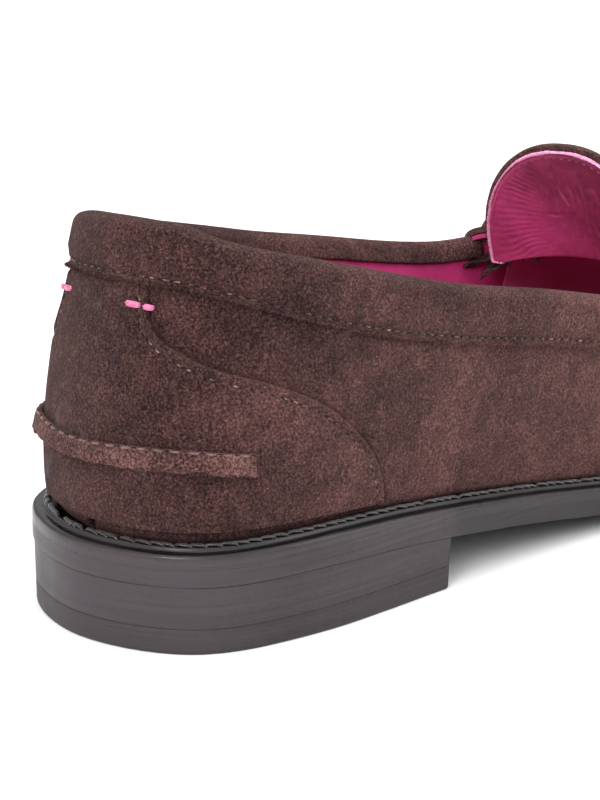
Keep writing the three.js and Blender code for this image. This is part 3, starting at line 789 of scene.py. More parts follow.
along = unit(np.gradient(counter_line * WALL_SCALE, axis=0))
stitch_row = (counter_line * WALL_SCALE + COUNTER_STITCH * np.stack([along[:, 1], -along[:, 0]], -1)) / WALL_SCALE
stitch_row = resample(stitch_row[stitch_row[:, 1] < 0.792], 160, WALL_SCALE)
for side_name, sign in (("outer", 1), ("inner", -1)):
    row = stitch_row.copy()
    if sign < 0:
        row[:, 0] += inner_shift(row[:, 1])
    path, normals = skin_line(sign * row[:, 0], row[:, 1], TRIM_FACE - 0.30)
    seam(f"counter_stitches_{side_name}", path, normals, 2.3, 1.2, 0.15, GLINT_THREAD, hole=0.19, hole_stretch=1.7,
         hump=0.08, wobble=0.16, seed=31 + sign)


# ------------------------------------------------------------------ collar band
COLLAR_END = 0.2735
COLLAR_FACE = GAP + TRIM + GAP
COLLAR_STITCH = 1.35  # of the stitches, above the band's raw edge
COLLAR_LIFT = 0.12  # of the band's face over the counter
COLLAR_PRESS = 0.62  # how far the edge is pressed down where it doesn't lie on the counter


def collar_low(u):
    return 1 - lerp(0.195, 0.262, smooth(0.065, 0.135, from_heel(u)))


def on_counter(u):
    """1 where the collar lies on the heel counter."""
    return 1 - smooth(0.026, 0.034, from_heel(u))


def collar_band():
    stations = 620
    u = np.linspace(-COLLAR_END, COLLAR_END, stations)[:, None]
    height = height_at(u)
    drop = (1 - collar_low(u)) * height
    inner_face = lining_depth(u) - LINING - GAP - 0.8
    line = skin(u, collar_low(u), COLLAR_FACE + 0 * u)
    fray = noise(line, 0.9, 12) * 0.16 + noise(line, 2.3, 13) * 0.14
    pucker = noise(line, 0.35, 14)
    under = GAP + COLLAR_PRESS * on_counter(u)
    press = COLLAR_PRESS * (1 - on_counter(u))
    # each row: millimetres above the raw edge, and depth
    rows = [(0.25, under), (fray + 0.02, under + 0.06), (fray - 0.02, COLLAR_FACE - 0.50 - press),
            (0.20 + 0.8 * fray, COLLAR_FACE - 0.14 - press + 0.3 * fray)]
    lift = COLLAR_LIFT * on_counter(u)
    for y in (0.4, 0.7, 0.95, 1.15, 1.35, 1.55, 1.8, 2.1, 2.5, 3.0, 3.6):
        rows.append((y, COLLAR_FACE + lift - 0.42 * dip(y, COLLAR_STITCH, 0.42) + 0.30 * smooth(1.6, 5.5, y)
                     + 0.05 * pucker * (y < 3) - press * (1 - smooth(0.6, 5.0, y))))
    reach = drop - 2.7
    for t in np.linspace(0, 1, 9)[1:]:
        rows.append((lerp(3.6, reach, t), COLLAR_FACE + lift + lerp(0.2, 0.24, t)))
    outer_face = COLLAR_FACE + lift + 0.24
    power = 2 / 2.35  # of the roll's oval
    for angle in np.linspace(0, math.pi, 17)[1:-1]:
        c, s = math.cos(angle), math.sin(angle)
        rows.append((reach + 3.15 * abs(s) ** power,
                     lerp(inner_face, outer_face, (1 + math.copysign(abs(c) ** power, c)) / 2)))
    for y in (0.0, -0.7, -1.4, -1.9):
        rows.append((reach + y, inner_face - 0.10 * math.sin(math.pi * -y / 2.4)))
    hem = reach + 0.5 * fray
    top_inside = (QUARTER_TOP - 1) * height + drop + GAP
    rows += [(hem - 2.25, inner_face + 0.08), (hem - 2.35, inner_face + 0.45), (hem - 2.2, inner_face + 0.78),
             (reach - 0.6, inner_face + 0.80), (top_inside, inner_face + 0.80), (top_inside, GAP)]
    for t in (0.33, 0.66):
        rows.append((lerp(top_inside, 0.6, t), GAP + (under - GAP) * smooth(0.55, 0.8, t)))
    above = np.concatenate([np.broadcast_to(a, drop.shape) for a, _ in rows], 1)
    depth = np.concatenate([np.broadcast_to(d, drop.shape) for _, d in rows], 1)
    v = collar_low(u) + above / height
    base = skin(u, v, depth)
    soft = 0.14 * fractal(base, 1 / 20, 3, 41)
    outer_part = (np.arange(len(rows)) > 3) & (np.arange(len(rows)) < len(rows) - 8)
    depth = depth + soft * outer_part
    # both ends close like the end of a folded strip
    close = 1 - swell_in(to_ends(stations, 2 * COLLAR_END * U_MM), 1.6)
    points = skin(u, lerp(v, v.mean(1, keepdims=True), 0.35 * close),
                  lerp(depth, depth.mean(1, keepdims=True), 0.55 * close))
    return grid_object("collar_band_suede", points, SUEDE, close_columns=True, caps=True)


settle(collar_band(), "suede", "collar_band")

u_line = np.linspace(-COLLAR_END + 0.003, COLLAR_END - 0.003, 900)
over = on_counter(u_line)
path, normals = skin_line(u_line, collar_low(u_line) + COLLAR_STITCH / height_at(u_line),
                          COLLAR_FACE - 0.38 + COLLAR_LIFT * over
                          - COLLAR_PRESS * (1 - over) * (1 - smooth(0.6, 5.0, COLLAR_STITCH)))
seam("collar_stitches", path, normals, 2.5, 1.25, 0.15, GLINT_THREAD, hole=0.19, hole_stretch=1.7, hump=0.08,
     wobble=0.18, seed=35)


FIBRE_WIDTH = 0.09


def fuzz(name, path, outwards, spread, count, length, material, seed):
    """Loose fibres along a raw edge: thin closed spikes that leave a line of points roughly in given directions."""
    random = np.random.default_rng(seed)
    where = np.sort(random.uniform(0, len(path) - 1.01, count))
    root = at_index(path, where) + random.uniform(-spread, spread, (count, 3))
    way = unit(unit(at_index(outwards, where)) + random.normal(0, 0.55, (count, 3)))
    side = unit(np.cross(way, random.normal(0, 1, (count, 3))))
    other = np.cross(way, side)
    long = length * random.uniform(0.35, 1.0, (count, 1))
    bend = side * random.normal(0, 0.25, (count, 1)) * long
    rings = []
    for along, wide in ((-0.15, 1), (0.5, 0.7), (1.0, 0.15)):
        middle = root + way * long * along + bend * max(0, along) ** 2
        rings.append([middle + FIBRE_WIDTH * wide * (side * math.cos(a) + other * math.sin(a))
                      for a in (0, 2.094, 4.189)])
    points = np.moveaxis(np.array(rings), 2, 0).reshape(-1, 3)
    one = [[0, 2, 1], [6, 7, 8]] + [[3 * r + j, 3 * r + (j + 1) % 3, 3 * r + 3 + (j + 1) % 3, 3 * r + 3 + j]
                                   for r in (0, 1) for j in range(3)]
    faces = [[9 * k + j for j in face] for k in range(count) for face in one]
    return settle(make_object(name, points, faces, material), "suede_trim")


path, normals = skin_line(u_line, collar_low(u_line) + 0.25 / height_at(u_line), GAP + 0.75 + 0.55 * over)
below = skin(u_line, collar_low(u_line) - 0.6 / height_at(u_line), GAP + 0.9 + 0.55 * over) - path
fuzz("collar_edge_fibres", path, unit(below) + 0.8 * normals, 0.22, 3600, 0.85, SUEDE_LIGHT, 37)

edge_line = resample(COUNTER_SEAM[1:], 400, WALL_SCALE)
for side_name, sign in (("outer", 1), ("inner", -1)):
    u, v = edge_line[:, 0] + (inner_shift(edge_line[:, 1]) if sign < 0 else 0), edge_line[:, 1]
    path, normals = skin_line(sign * u, v, 0.55 + 0 * u)
    beyond = skin(sign * (u + 0.0012), v + 0.01, 0.55 + 0 * u) - path
    fuzz(f"counter_edge_fibres_{side_name}", path, unit(beyond) + 0.9 * normals, 0.2, 900, 0.65, SUEDE, 38 + sign)


# ------------------------------------------------------------------ heel strip and bar tacks
STRIP_END, STRIP_HALF = 0.0765, 1.95


def strip_middle(u):
    return 0.2825 + 0.007 * np.sin(2 * np.pi * (u - 0.022) / 0.1) * (u > -0.04) - 0.004 * (u <= -0.04)


def heel_strip():
    stations, around = 420, 22
    u = np.linspace(-STRIP_END, STRIP_END, stations)[:, None]
    height = height_at(u)
    angle = ring_angles(around)[None, :]
    c, s = np.cos(angle), np.sin(angle)
    power = 2 / 3.0
    y = STRIP_HALF * np.sign(s) * np.abs(s) ** power
    d = TRIM_FACE + 0.22 + 0.85 * (1 + np.sign(c) * np.abs(c) ** power)
    middle = skin(u, strip_middle(u), d * 0 + 2.5)
    line = middle[:, :1]
    ragged = 0.36 * noise(line, 0.55, 51) + 0.34 * noise(line, 1.6, 52)
    lower, upper = np.clip(-y / STRIP_HALF, 0, 1), np.clip(y / STRIP_HALF, 0, 1)
    y = y + ragged * lower**2
    d = d + (0.35 + 0.5 * noise(line, 0.4, 53)) * lower**2 * (c > -0.2) - 0.45 * upper**3 * (c > 0)
    d = d - 0.12 * dip(y, 1.0, 0.35) * (c > 0) + 0.10 * fractal(middle, 0.25, 3, 54) * (c > -0.2)
    close = swell_in(to_ends(stations, 2 * STRIP_END * U_MM), 1.1, 0.02)
    y = y * (0.60 + 0.40 * close)
    d = lerp(TRIM_FACE + 0.22, d, 0.35 + 0.65 * close)
    points = skin(u, strip_middle(u) + y / height, d)
    return grid_object("heel_strip_suede", points, SUEDE_LIGHT, close_columns=True, caps=True)


settle(heel_strip(), "suede_trim", "heel_strip")
u_line = np.linspace(-STRIP_END + 0.0015, STRIP_END - 0.0015, 500)
path, normals = skin_line(u_line, strip_middle(u_line) + 1.62 / height_at(u_line), TRIM_FACE + 1.30)
seam("strip_stitches", path, normals, 3.3, 2.1, 0.21, STRIP_THREAD, hole=0.30, hole_stretch=1.9, hump=0.16, sink=0.35,
     wobble=0.2, strands=2, twist=3.0, seed=36)


path, normals = skin_line(u_line, strip_middle(u_line) - 1.75 / height_at(u_line), TRIM_FACE + 1.2)
below = skin(u_line, strip_middle(u_line) - 2.6 / height_at(u_line), TRIM_FACE + 1.2) - path
fuzz("strip_edge_fibres", path, unit(below) + 0.5 * normals, 0.3, 1500, 0.9, SUEDE_LIGHT, 40)


TACK_V, TACK_FALL, STRAND_GAP = 0.7365, -0.30, 0.30


def bar_tack(name, u_parts, sign, node):
    """Satin stitches of pink thread, laid side by side across the seam."""
    parts = []
    middle = (u_parts[0][1] + u_parts[1][0]) / 2
    for k, (a, b) in enumerate(u_parts):
        u = np.linspace(a, b, 24)
        for strand, rise_by in enumerate((-STRAND_GAP, 0.0, STRAND_GAP)):
            v = TACK_V + (u - middle) * TACK_FALL + rise_by / V_MM
            line, normal = skin_line(sign * u, v, TRIM_FACE + 0.10 + 0.14 * (rise_by == 0))
            parts.append(stitch_mesh(line, normal, 99, np.linalg.norm(line[-1] - line[0]) - 0.4 * (rise_by != 0),
                                     0.25, sink=0.45, hump=0.30, sides=8, rings=14, wobble=0.12, seed=4 * k + strand))
    settle(make_object(name, *joined(parts), PINK_THREAD), "pink_edge", node)


TACK_PARTS = np.array([(0.0162, 0.0242), (0.0248, 0.0302)])
bar_tack("bar_tack_outer", TACK_PARTS, 1, "tack_outer")
bar_tack("bar_tack_inner", TACK_PARTS + 0.0085, -1, "tack_inner")


# ------------------------------------------------------------------ sole, welt and heel
def sole_height(x, above):
    """Height of the sole's curved planes at x, measured from the welt's top."""
    return SEAT + rise(x) + above


def filled(name, rings, height_first, height_last, material, across=12):
    """A closed solid from rings of points, closed by ribs over its first and last rings. A ring's second half mirrors
    its first, and the heights give a rib's z from x and y."""
    rings = np.asarray(rings)
    levels, count = rings.shape[:2]
    half = count // 2
    points = [rings.reshape(-1, 3)]
    faces = grid_faces(levels, count, close_columns=True).tolist()
    start = levels * count
    t = np.linspace(0, 1, across + 2)[1:-1][None, :, None]
    for first, height, flip in ((0, height_first, False), ((levels - 1) * count, height_last, True)):
        ring = rings[first // count]
        one, other = (ring[i][:, None] for i in (np.arange(1, half), count - np.arange(1, half)))
        inner = one * (1 - t) + other * t
        inner[..., 2] = height(inner[..., 0], inner[..., 1])
        points.append(inner.reshape(-1, 3))
        ids = [[first + k, *range(start + (k - 1) * across, start + k * across), first + count - k]
               for k in range(1, half)]
        steps = range(across + 1)
        cap = [[first, ids[0][j + 1], ids[0][j]] for j in steps]
        cap += [[a[j], a[j + 1], b[j + 1], b[j]] for a, b in zip(ids[:-1], ids[1:]) for j in steps]
        cap += [[first + half, ids[-1][j], ids[-1][j + 1]] for j in steps]
        faces += [face[::-1] for face in cap] if flip else cap
        start += (half - 1) * across
    return make_object(name, np.concatenate(points), faces, material)


def outsole():
    u = np.arange(400) / 400
    top, bottom = -WELT_THICKNESS - 0.01, -WELT_THICKNESS - GAP - SOLE_THICKNESS
    profile = [(-7, top), (-0.3, top), (0.0, top), (0.08, top - 0.01), (0.08, top - 1.2), (0.08, top - 2.2),
               (0.05, bottom + 0.25), (-0.03, bottom + 0.07), (-0.30, bottom), (-3.0, bottom), (-7, bottom)]
    worn = 0.07 * fractal(sole_line(u, 0 * u, 0), 1 / 9, 2, 61)
    rings = []
    for k, (out, z) in enumerate(profile):
        points = sole_line(u, out + worn * (0 < k < 8), z)
        if k in (0, len(profile) - 1):
            points[:, 2] = sole_height(points[:, 0], z)
        rings.append(points)
    return filled("outsole_leather", rings, lambda x, y: sole_height(x, top), lambda x, y: sole_height(x, bottom),
                  SOLE_BLACK)


settle(outsole(), "sole_leather", "outsole")


def welt():
    u = np.arange(520) / 520
    profile = [(-6, -3), (-0.30, -3), (0.02, -3), (0.08, -2.99), (0.09, -2.0), (0.10, -1.3), (0.05, -0.75),
               (-0.12, -0.36), (-0.42, -0.10), (-0.85, 0.0), (-1.4, 0.01), (-1.85, -0.05), (-2.05, 0.02),
               (-2.2, 0.45), (-2.45, 0.75), (-2.95, 0.85), (-3.35, 0.7), (-3.6, 0.25), (-3.9, 0), (-6, 0)]
    line = sole_line(u, 0 * u, 0)
    worn, nicks = 0.07 * fractal(line, 1 / 9, 2, 61), 0.05 * noise(line, 0.8, 63)
    grid = np.stack([sole_line(u, out + worn * (0 < k < 11), z + nicks * (5 < k < 12))
                     for k, (out, z) in enumerate(profile)], 1)
    return grid_object("welt_leather", grid, WELT_BLACK, close_rows=True, close_columns=True)


settle(welt(), "welt_leather", "welt")


def welt_rope():
    u = np.linspace(0.0, 1.0, 1601)
    path = sole_line(u, -2.85 + 0 * u, 1.02)
    normals = 0 * path + [0, 0, 1]
    path += 0.12 * np.stack([noise(path, 0.35, 65), noise(path, 0.35, 66), 0.6 * noise(path, 0.6, 67)], -1)
    stitches = stitch_mesh(path, normals, 2.9, 4.0, 0.44, sink=0.50, hump=0.22, slant=0.34, sides=10, rings=13,
                           strands=2, twist=2.5, wobble=0.45, flat=0.62, seed=64)
    return make_object("welt_rope_stitches", *stitches, WAX_THREAD)


settle(welt_rope(), "thread", "welt_stitching")

HEEL_TAPER, BREAST_RADIUS, BREAST_HOLLOW = 0.018, 130.0, 3.5
HEEL_TOP = SEAT - WELT_THICKNESS - SOLE_THICKNESS - 2 * GAP + 0.27


def heel_ring(z, inset):
    """The heel's outline at one height: outer side, breast and inner side; index 0 is the back."""
    scale = (1 - HEEL_TAPER * (1 - z / SEAT))
    fine = np.linspace(0, 0.2, 400)
    sides = []
    for sign in (1, -1):
        stop = np.interp(BREAST_X - inset, edge_xy(sign * fine)[:, 0] * scale, fine)
        point, out = edge(sign * np.linspace(0, stop, 90))
        sides.append(point * scale - out * inset)
    outer, inner = sides
    y = np.linspace(outer[-1, 1], inner[-1, 1], 43)[1:-1]
    x = np.minimum(BREAST_X, BREAST_X - BREAST_HOLLOW + BREAST_RADIUS - np.sqrt(BREAST_RADIUS**2 - y**2)) - inset
    breast = np.stack([x, y], -1)
    xy = np.concatenate([outer, breast, inner[:0:-1]])
    return np.concatenate([xy, np.full((len(xy), 1), z)], 1)


def heel_piece(name, levels, material, follow_top=False):
    """levels holds a height and an inset each; the heights may stretch to follow the sole line."""
    low, high = levels[0][0], levels[-1][0]
    rings = []
    for z, inset in levels:
        ring = heel_ring(min(z, 14.0), inset)
        if follow_top:
            ring[:, 2] = low + (z - low) / (high - low) * (HEEL_TOP + rise(ring[:, 0]) - low)
        worn = 0.06 * fractal(ring * [1, 1, 0.4], 1 / 9, 2, 66)
        flat = unit((ring - [3.0, 0, 0]) * [1, 1, 0])
        if z < 0.2:
            ring = ring + [0, 0, 1] * (0.9 * np.maximum(0, noise(ring * [1, 1, 0], 0.42, 68) - 0.42))[:, None]
        rings.append(ring + flat * worn[:, None])
    return filled(name, rings, lambda x, y: low + 0 * x,
                  lambda x, y: HEEL_TOP + rise(x) if follow_top else high + 0 * x, material)


settle(heel_piece("top_lift_rubber", [(0, 0.65), (0.06, 0.32), (0.3, 0.08), (0.7, 0.0), (1.8, 0), (3.4, 0),
                                      (LIFT_THICKNESS - 0.12, 0.0), (LIFT_THICKNESS - 0.03, 0.03),
                                      (LIFT_THICKNESS, 0.12)], LIFT_BLACK), "lift_rubber", "top_lift")
block_low = LIFT_THICKNESS + 0.04
settle(heel_piece("heel_block_leather", [(block_low, 0.12), (block_low + 0.03, 0.03), (block_low + 0.12, 0.0),
                                         (7.5, 0), (9.5, 0), (11.4, 0), (13.3, 0.0), (13.52, 0.03), (13.55, 0.10)],
                  SOLE_BLACK, follow_top=True), "sole_leather", "heel_block")


# ------------------------------------------------------------------ footbed
def bed_inset(u):
    return MARGIN - lining_depth(u) + LINING + 0.5


def cut_ring(ring, front, count):
    """The part of a ring behind a straight front, spaced evenly, starting at the back."""
    half = ring[:count // 2 + 1]
    other = np.concatenate([ring[:1], ring[:count // 2 - 1:-1]])
    sides = []
    for side in (half, other):
        x = side[:, 0]
        stop = np.interp(front, x[:count // 3], np.arange(count // 3))
        reach = at_index(side, np.linspace(0, stop, count // 2 - 20))
        end = reach[-1]
        inwards = np.linspace(1, 0, 22)[1:, None]
        middle = np.array([front, 0, end[2]])
        sides.append(np.concatenate([reach, middle + (end - middle) * inwards]))
    return np.concatenate([sides[0], sides[1][-2:0:-1]])


def bed_piece(name, low, high, material, stop=None):
    """A flat piece of the footbed between two heights above the welt's top, with a softly rounded rim."""
    count = 240
    u = np.arange(count) / count
    rings = []
    for share, inset in ((0, 0.8), (0.15, 0.25), (0.5, 0), (0.85, 0.25), (1, 0.8)):
        ring = sole_line(u, -(bed_inset(u) + inset), 0)
        if stop is not None:
            ring = cut_ring(ring, stop - inset, count)
        x = ring[:, 0]
        ring[:, 2] = sole_height(x, lerp(low(x), high(x), share))
        rings.append(ring)
    return filled(name, rings, lambda x, y: sole_height(x, low(x)), lambda x, y: sole_height(x, high(x)), material,
                  across=22)


PAD_BOTTOM = 2.6


def pad_thickness(x):
    return 2.4 * (1 - smooth(34, 58, x))


pad = bed_piece("heel_pad_foam", lambda x: PAD_BOTTOM + 0 * x,
                lambda x: PAD_BOTTOM + np.maximum(0.35, pad_thickness(x)), FOAM_LATEX, stop=50.0)
settle(pad, "foam", "heel_pad")
settle(bed_piece("sock_lining_leather", lambda x: PAD_BOTTOM + GAP + pad_thickness(x),
                 lambda x: PAD_BOTTOM + GAP + LINING + pad_thickness(x), SOCK_PINK), "lining_leather",
       "sock_lining")


# ------------------------------------------------------------------ forefoot: vamp, apron and their seam
THROAT = 0.268
APRON_TIP = 0.494
PUCKER_PITCH = 4.2
FLEX_CREASES = (141, 0.30, 3.0), (150, 0.38, 3.6), (159, 0.22, 3.0)  # place, depth and half width


def flex(base):
    """Soft creases across the ball of the foot."""
    return sum(size * dip(base[..., 0], place + 3.0 * noise(base * [0, 1, 1], 0.05, place), wide)
               for place, size, wide in FLEX_CREASES)


def vamp():
    columns, rows = 420, 60
    u = lerp(VAMP_START, 1 - VAMP_START, np.linspace(0, 1, columns))[:, None]
    height = height_at(u)
    low, high = FOOT_CLEAR / height, 1 - 0.5 / height
    v = lerp(low, high, crowd(rows, 0.05)[None, :])
    base = skin(u, v, 0 * v)
    bumps = 0.14 * fractal(base, 1 / 26, 3, 81)
    below = (high - v) * height
    phase = 2 * np.pi * lengths_along(base[:, -1])[:, None] / PUCKER_PITCH
    gathers = 0.30 * np.cos(phase) * dip(below, 0, 4.5) * smooth(0.325, 0.345, from_heel(u))
    rounding = EDGE_ROUND * (1 - swell_in(np.minimum((v - low) * height, below)))
    outside = skin(u, v, PANEL_FACE + bumps + gathers - flex(base) * smooth(0.35, 0.8, v) - rounding)
    inside = skin(u, v, -UPPER + 0 * v)
    return shell("vamp_suede", outside, inside, SUEDE)


settle(vamp(), "suede", "vamp")


def crown_leaf(name, start, stations, across, material, top_depth, thickness, bumps_by, seed, creased):
    w = lerp(THROAT, APRON_TIP, np.sin(np.linspace(0, 1, stations) * np.pi / 2))[:, None]
    s = lerp(start, 1 - start, crowd(across, 0.04))[None, :]
    base = crown_skin(w, s, 0 * (w + s))
    bumps = bumps_by * fractal(base, 1 / 26, 3, seed) - flex(base) * creased
    outside = crown_skin(w, s, top_depth + bumps)
    inside = crown_skin(w, s, top_depth - thickness + 0 * bumps)
    return shell(name, outside, inside, material)


settle(crown_leaf("apron_suede", 0.016, 150, 90, SUEDE, -0.1, UPPER, 0.14, 82, True), "suede", "apron")
settle(crown_leaf("apron_lining_leather", 0.1, 90, 50, LINING_PINK, -UPPER - 0.4, LINING, 0.05, 83, False),
       "lining_leather", "apron_lining")

STRAP_BACK, STRAP_FRONT = 0.276, 0.318


def apron_seam():
    """The gathered ridge that joins apron and vamp, pinched by every stitch."""
    stations, around = 760, 16
    start = STRAP_FRONT + 0.004
    u = np.linspace(start, 1 - start, stations)[:, None]
    height = height_at(u)
    middle = skin(u, 1 + 0 * u, 0.8 + 0 * u)
    lengths = lengths_along(middle[:, 0])[:, None]
    pinch = 0.5 + 0.5 * np.cos(2 * np.pi * lengths / PUCKER_PITCH)
    angle = ring_angles(around)[None, :]
    wide = 1.75 - 0.30 * pinch + 0.12 * noise(middle, 0.5, 84)
    tall = 1.15 - 0.34 * pinch + 0.10 * noise(middle, 0.7, 85)
    past = wide * np.cos(angle)
    # its underside goes down into the joint on the apron's side
    low = lerp(0.22, -1.0, smooth(-0.3, 1.2, past))
    depth = 0.95 + np.where(np.sin(angle) > 0, tall, 0.95 - low) * np.sin(angle)
    depth = np.maximum(depth - 0.20 * dip(past, 0, 0.35) * (np.sin(angle) > 0), low)
    close = swell_in(to_ends(stations, lengths[-1, 0]), 1.2, 0.03)
    points = skin(u, 1 + past * close / height, lerp(0.5, depth, close))
    settle(grid_object("apron_seam_ridge", points, SUEDE, close_columns=True, caps=True), "suede_trim", "apron_seam")
    u_line = np.linspace(start + 0.004, 1 - start - 0.004, 1200)
    threads = cross_stitches(*skin_line(u_line, 1 + 0 * u_line, 1.35), PUCKER_PITCH, 1.55, 0.26)
    settle(make_object("apron_stitches", *threads, STRIP_THREAD), "thread")


def cross_stitches(path, normals, pitch, reach, radius):
    """Stitches that go over a ridge, across its line."""
    sides, rings, lean = 8, 11, 0.35
    places = along_path(path, pitch)[0]
    centre = at_index(path, places)
    normal = unit(at_index(normals, places))
    tangent = unit(at_index(np.gradient(path, axis=0), places))
    side = np.cross(tangent, normal)
    turn = np.linspace(-0.62, 0.62, rings) * np.pi
    line = (centre[:, None] + side[:, None] * (reach * np.sin(turn))[None, :, None]
            + normal[:, None] * (0.85 * reach * np.cos(turn) - 0.55)[None, :, None]
            + tangent[:, None] * (lean * np.sin(turn))[None, :, None])
    along = unit(np.gradient(line, axis=1))
    out = unit(np.cross(along, tangent[:, None]))
    across = np.cross(out, along)
    angle = ring_angles(sides)
    points = line[:, :, None] + radius * (out[:, :, None] * np.cos(angle)[:, None]
                                          + across[:, :, None] * np.sin(angle)[:, None])
    return points.reshape(-1, 3), tube_faces(len(places), rings, sides)


apron_seam()


# ------------------------------------------------------------------ saddle
STRAP_LOW, WALL_SHARE = 0.12, 0.34
SLIT_HALF, SLIT_FRONT, SLIT_BACK, SLIT_SHIFT = 13.0, 2.75, 1.25, -1.5


def strap_point(w, t, depth):
    w, t, depth = np.broadcast_arrays(w, t, depth)
    outer = skin(w, lerp(STRAP_LOW, 1.0, np.clip(t / WALL_SHARE, 0, 1)), depth)
    inner = skin(1 - w, lerp(STRAP_LOW, 1.0, np.clip((1 - t) / WALL_SHARE, 0, 1)), depth)
    top = crown_skin(w, np.clip((t - WALL_SHARE) / (1 - 2 * WALL_SHARE), 0, 1), depth)
    return np.where((t <= WALL_SHARE)[..., None], outer, np.where((t >= 1 - WALL_SHARE)[..., None], inner, top))


HOLLOW = 2.3  # depth of the hollow where wall turns into crown
STRAP_STITCH_IN = 2.3  # of the strap's stitches, inside its edges


def strap_edges(t, trim=0.0):
    flare = 0.006 * np.cos(np.pi * np.minimum(1, 2 * np.minimum(t, 1 - t)))
    return STRAP_BACK + trim + 0 * t, STRAP_FRONT - trim + np.maximum(0, flare) - 0.003


STRAP_TS = np.concatenate([np.linspace(0, WALL_SHARE, 60), np.linspace(WALL_SHARE, 1 - WALL_SHARE, 110)[1:-1],
                           np.linspace(1 - WALL_SHARE, 1, 60)])


def relax(points):
    """Evens the rows of a grid, for the strap's bend where it turns from wall to crown."""
    for _ in range(3):
        middle = points.copy()
        middle[1:-1] = (points[:-2] + points[2:]) / 2
        points = (points + middle) / 2
    return points


def strap_layer(name, trim, inside_depth, outside_depth, material, with_slit):
    t = STRAP_TS[:, None] if with_slit else STRAP_TS[3:-3, None]
    back, front = strap_edges(t, trim)
    half = 17 if with_slit else 12
    if with_slit:
        centre = crown(np.array((STRAP_BACK + STRAP_FRONT) / 2), np.array(0.5))
        probe = strap_point((back + front) / 2, t, outside_depth)
        y = (probe[..., 1] - centre[1]) / SLIT_HALF
        wide = np.clip(1 - y**2, 0, 1) * (np.abs(y) < 1) * ((t > WALL_SHARE) & (t < 1 - WALL_SHARE))
        per_mm = (front - back) / np.linalg.norm(
            strap_point(front, t, outside_depth) - strap_point(back, t, outside_depth), axis=-1)
        mid = (STRAP_BACK + STRAP_FRONT) / 2 + SLIT_SHIFT * per_mm
        rear_lip, front_lip = mid - SLIT_BACK * wide * per_mm, mid + SLIT_FRONT * wide * per_mm
        columns = np.concatenate([lerp(back, rear_lip, crowd(half, 0.12)[None, :]),
                                  lerp(front_lip, front, crowd(half, 0.12)[None, :])], 1)
        open_here = wide > 1e-4
    else:
        columns = lerp(back, front, crowd(2 * half, 0.05)[None, :])
    base = strap_point(columns, t, outside_depth)
    width = np.linalg.norm(base[:, -1] - base[:, 0], axis=-1)[:, None]
    share = (columns - back) / (front - back)
    from_edge = np.minimum(share, 1 - share) * width
    lengths = lengths_along(base[:, half])[:, None]
    from_edge = np.minimum(from_edge, np.minimum(lengths, lengths[-1] - lengths))
    if with_slit:
        to_lip = np.abs(columns - np.where(np.arange(2 * half)[None, :] < half, rear_lip, front_lip)) / per_mm
        from_edge = np.where(open_here, np.minimum(from_edge, to_lip), from_edge)
    rounding = 0.55 * (1 - swell_in(from_edge))
    valley = 0.32 * dip(from_edge, STRAP_STITCH_IN, 0.5) * with_slit
    soft = 0.12 * fractal(base, 1 / 18, 3, 90)
    outside = relax(strap_point(columns, t, outside_depth + soft - rounding - valley))
    # away from its edges the lining fills the hollow where wall turns into crown
    fill = sum(np.exp(-(((t - bend) / 0.10) ** 4)) for bend in (WALL_SHARE, 1 - WALL_SHARE)) * (not with_slit)
    inside = relax(strap_point(columns, t, inside_depth - HOLLOW * fill * smooth(1.6, 4.2, from_edge)))
    if not with_slit:
        return shell(name, outside, inside, material)
    # the two halves share their middle line except along the slit
    rows, count = outside.shape[:2]
    total = rows * count
    points = two_sides(outside, inside)
    index = np.arange(total).reshape(rows, count)
    shut = ~open_here[:, 0]
    merged = index.copy()
    merged[shut, half] = index[shut, half - 1]
    faces = []
    for i in range(rows - 1):
        for j in range(count - 1):
            if j == half - 1:
                continue
            a, b, c, d = merged[i, j], merged[i + 1, j], merged[i + 1, j + 1], merged[i, j + 1]
            faces.append([a, b, c, d])
            faces.append([d + total, c + total, b + total, a + total])

    def wall_between(line, flip):
        for a, b in zip(line[:-1], line[1:]):
            if a == b:
                continue
            face = [a, b, b + total, a + total]
            faces.append(face[::-1] if flip else face)

    wall_between(merged[:, 0], True)
    wall_between(merged[:, -1], False)
    for edge_row, flip in ((0, False), (rows - 1, True)):
        wall_between(np.concatenate([merged[edge_row, :half], merged[edge_row, half + 1:]]), flip)
    opening = np.nonzero(~shut)[0]
    span = np.arange(opening[0] - 1, opening[-1] + 2)
    wall_between(merged[span, half - 1], False)
    wall_between(merged[span, half], True)
    faces = [[k for n, k in enumerate(face) if k not in face[:n]] for face in faces]
    faces = [face for face in faces if len(face) > 2]
    return make_object(name, points, faces, material)


LINING_FACE = GAP + 0.8
STRAP_FACE = LINING_FACE + 0.4 + UPPER
STRAP_INSIDE = LINING_FACE + 0.15
settle(strap_layer("saddle_lining_leather", 0.0016, GAP + 0.3, LINING_FACE, LINING_PINK, False), "lining_leather",
       "saddle_lining")
settle(strap_layer("saddle_strap_suede", 0.0, STRAP_INSIDE, STRAP_FACE, SUEDE, True), "suede",
       "saddle_strap")


def strap_seams():
    t = STRAP_TS[4:-4]
    back, front = strap_edges(t)
    whole = strap_point(front, t, 2.5 + 0 * t) - strap_point(back, t, 2.5 + 0 * t)
    per_mm = (front - back) / np.linalg.norm(whole, axis=-1)
    for label, w in (("back", back + STRAP_STITCH_IN * per_mm), ("front", front - STRAP_STITCH_IN * per_mm)):
        low = relax(strap_point(w, t, STRAP_FACE - 0.28))
        high = relax(strap_point(w, t, STRAP_FACE + 0.4))
        seam(f"saddle_stitches_{label}", low, unit(high - low), 2.6, 1.45, 0.19, BROWN_THREAD, hole=0.26,
             hole_stretch=1.6, wobble=0.06, seed=91)


strap_seams()


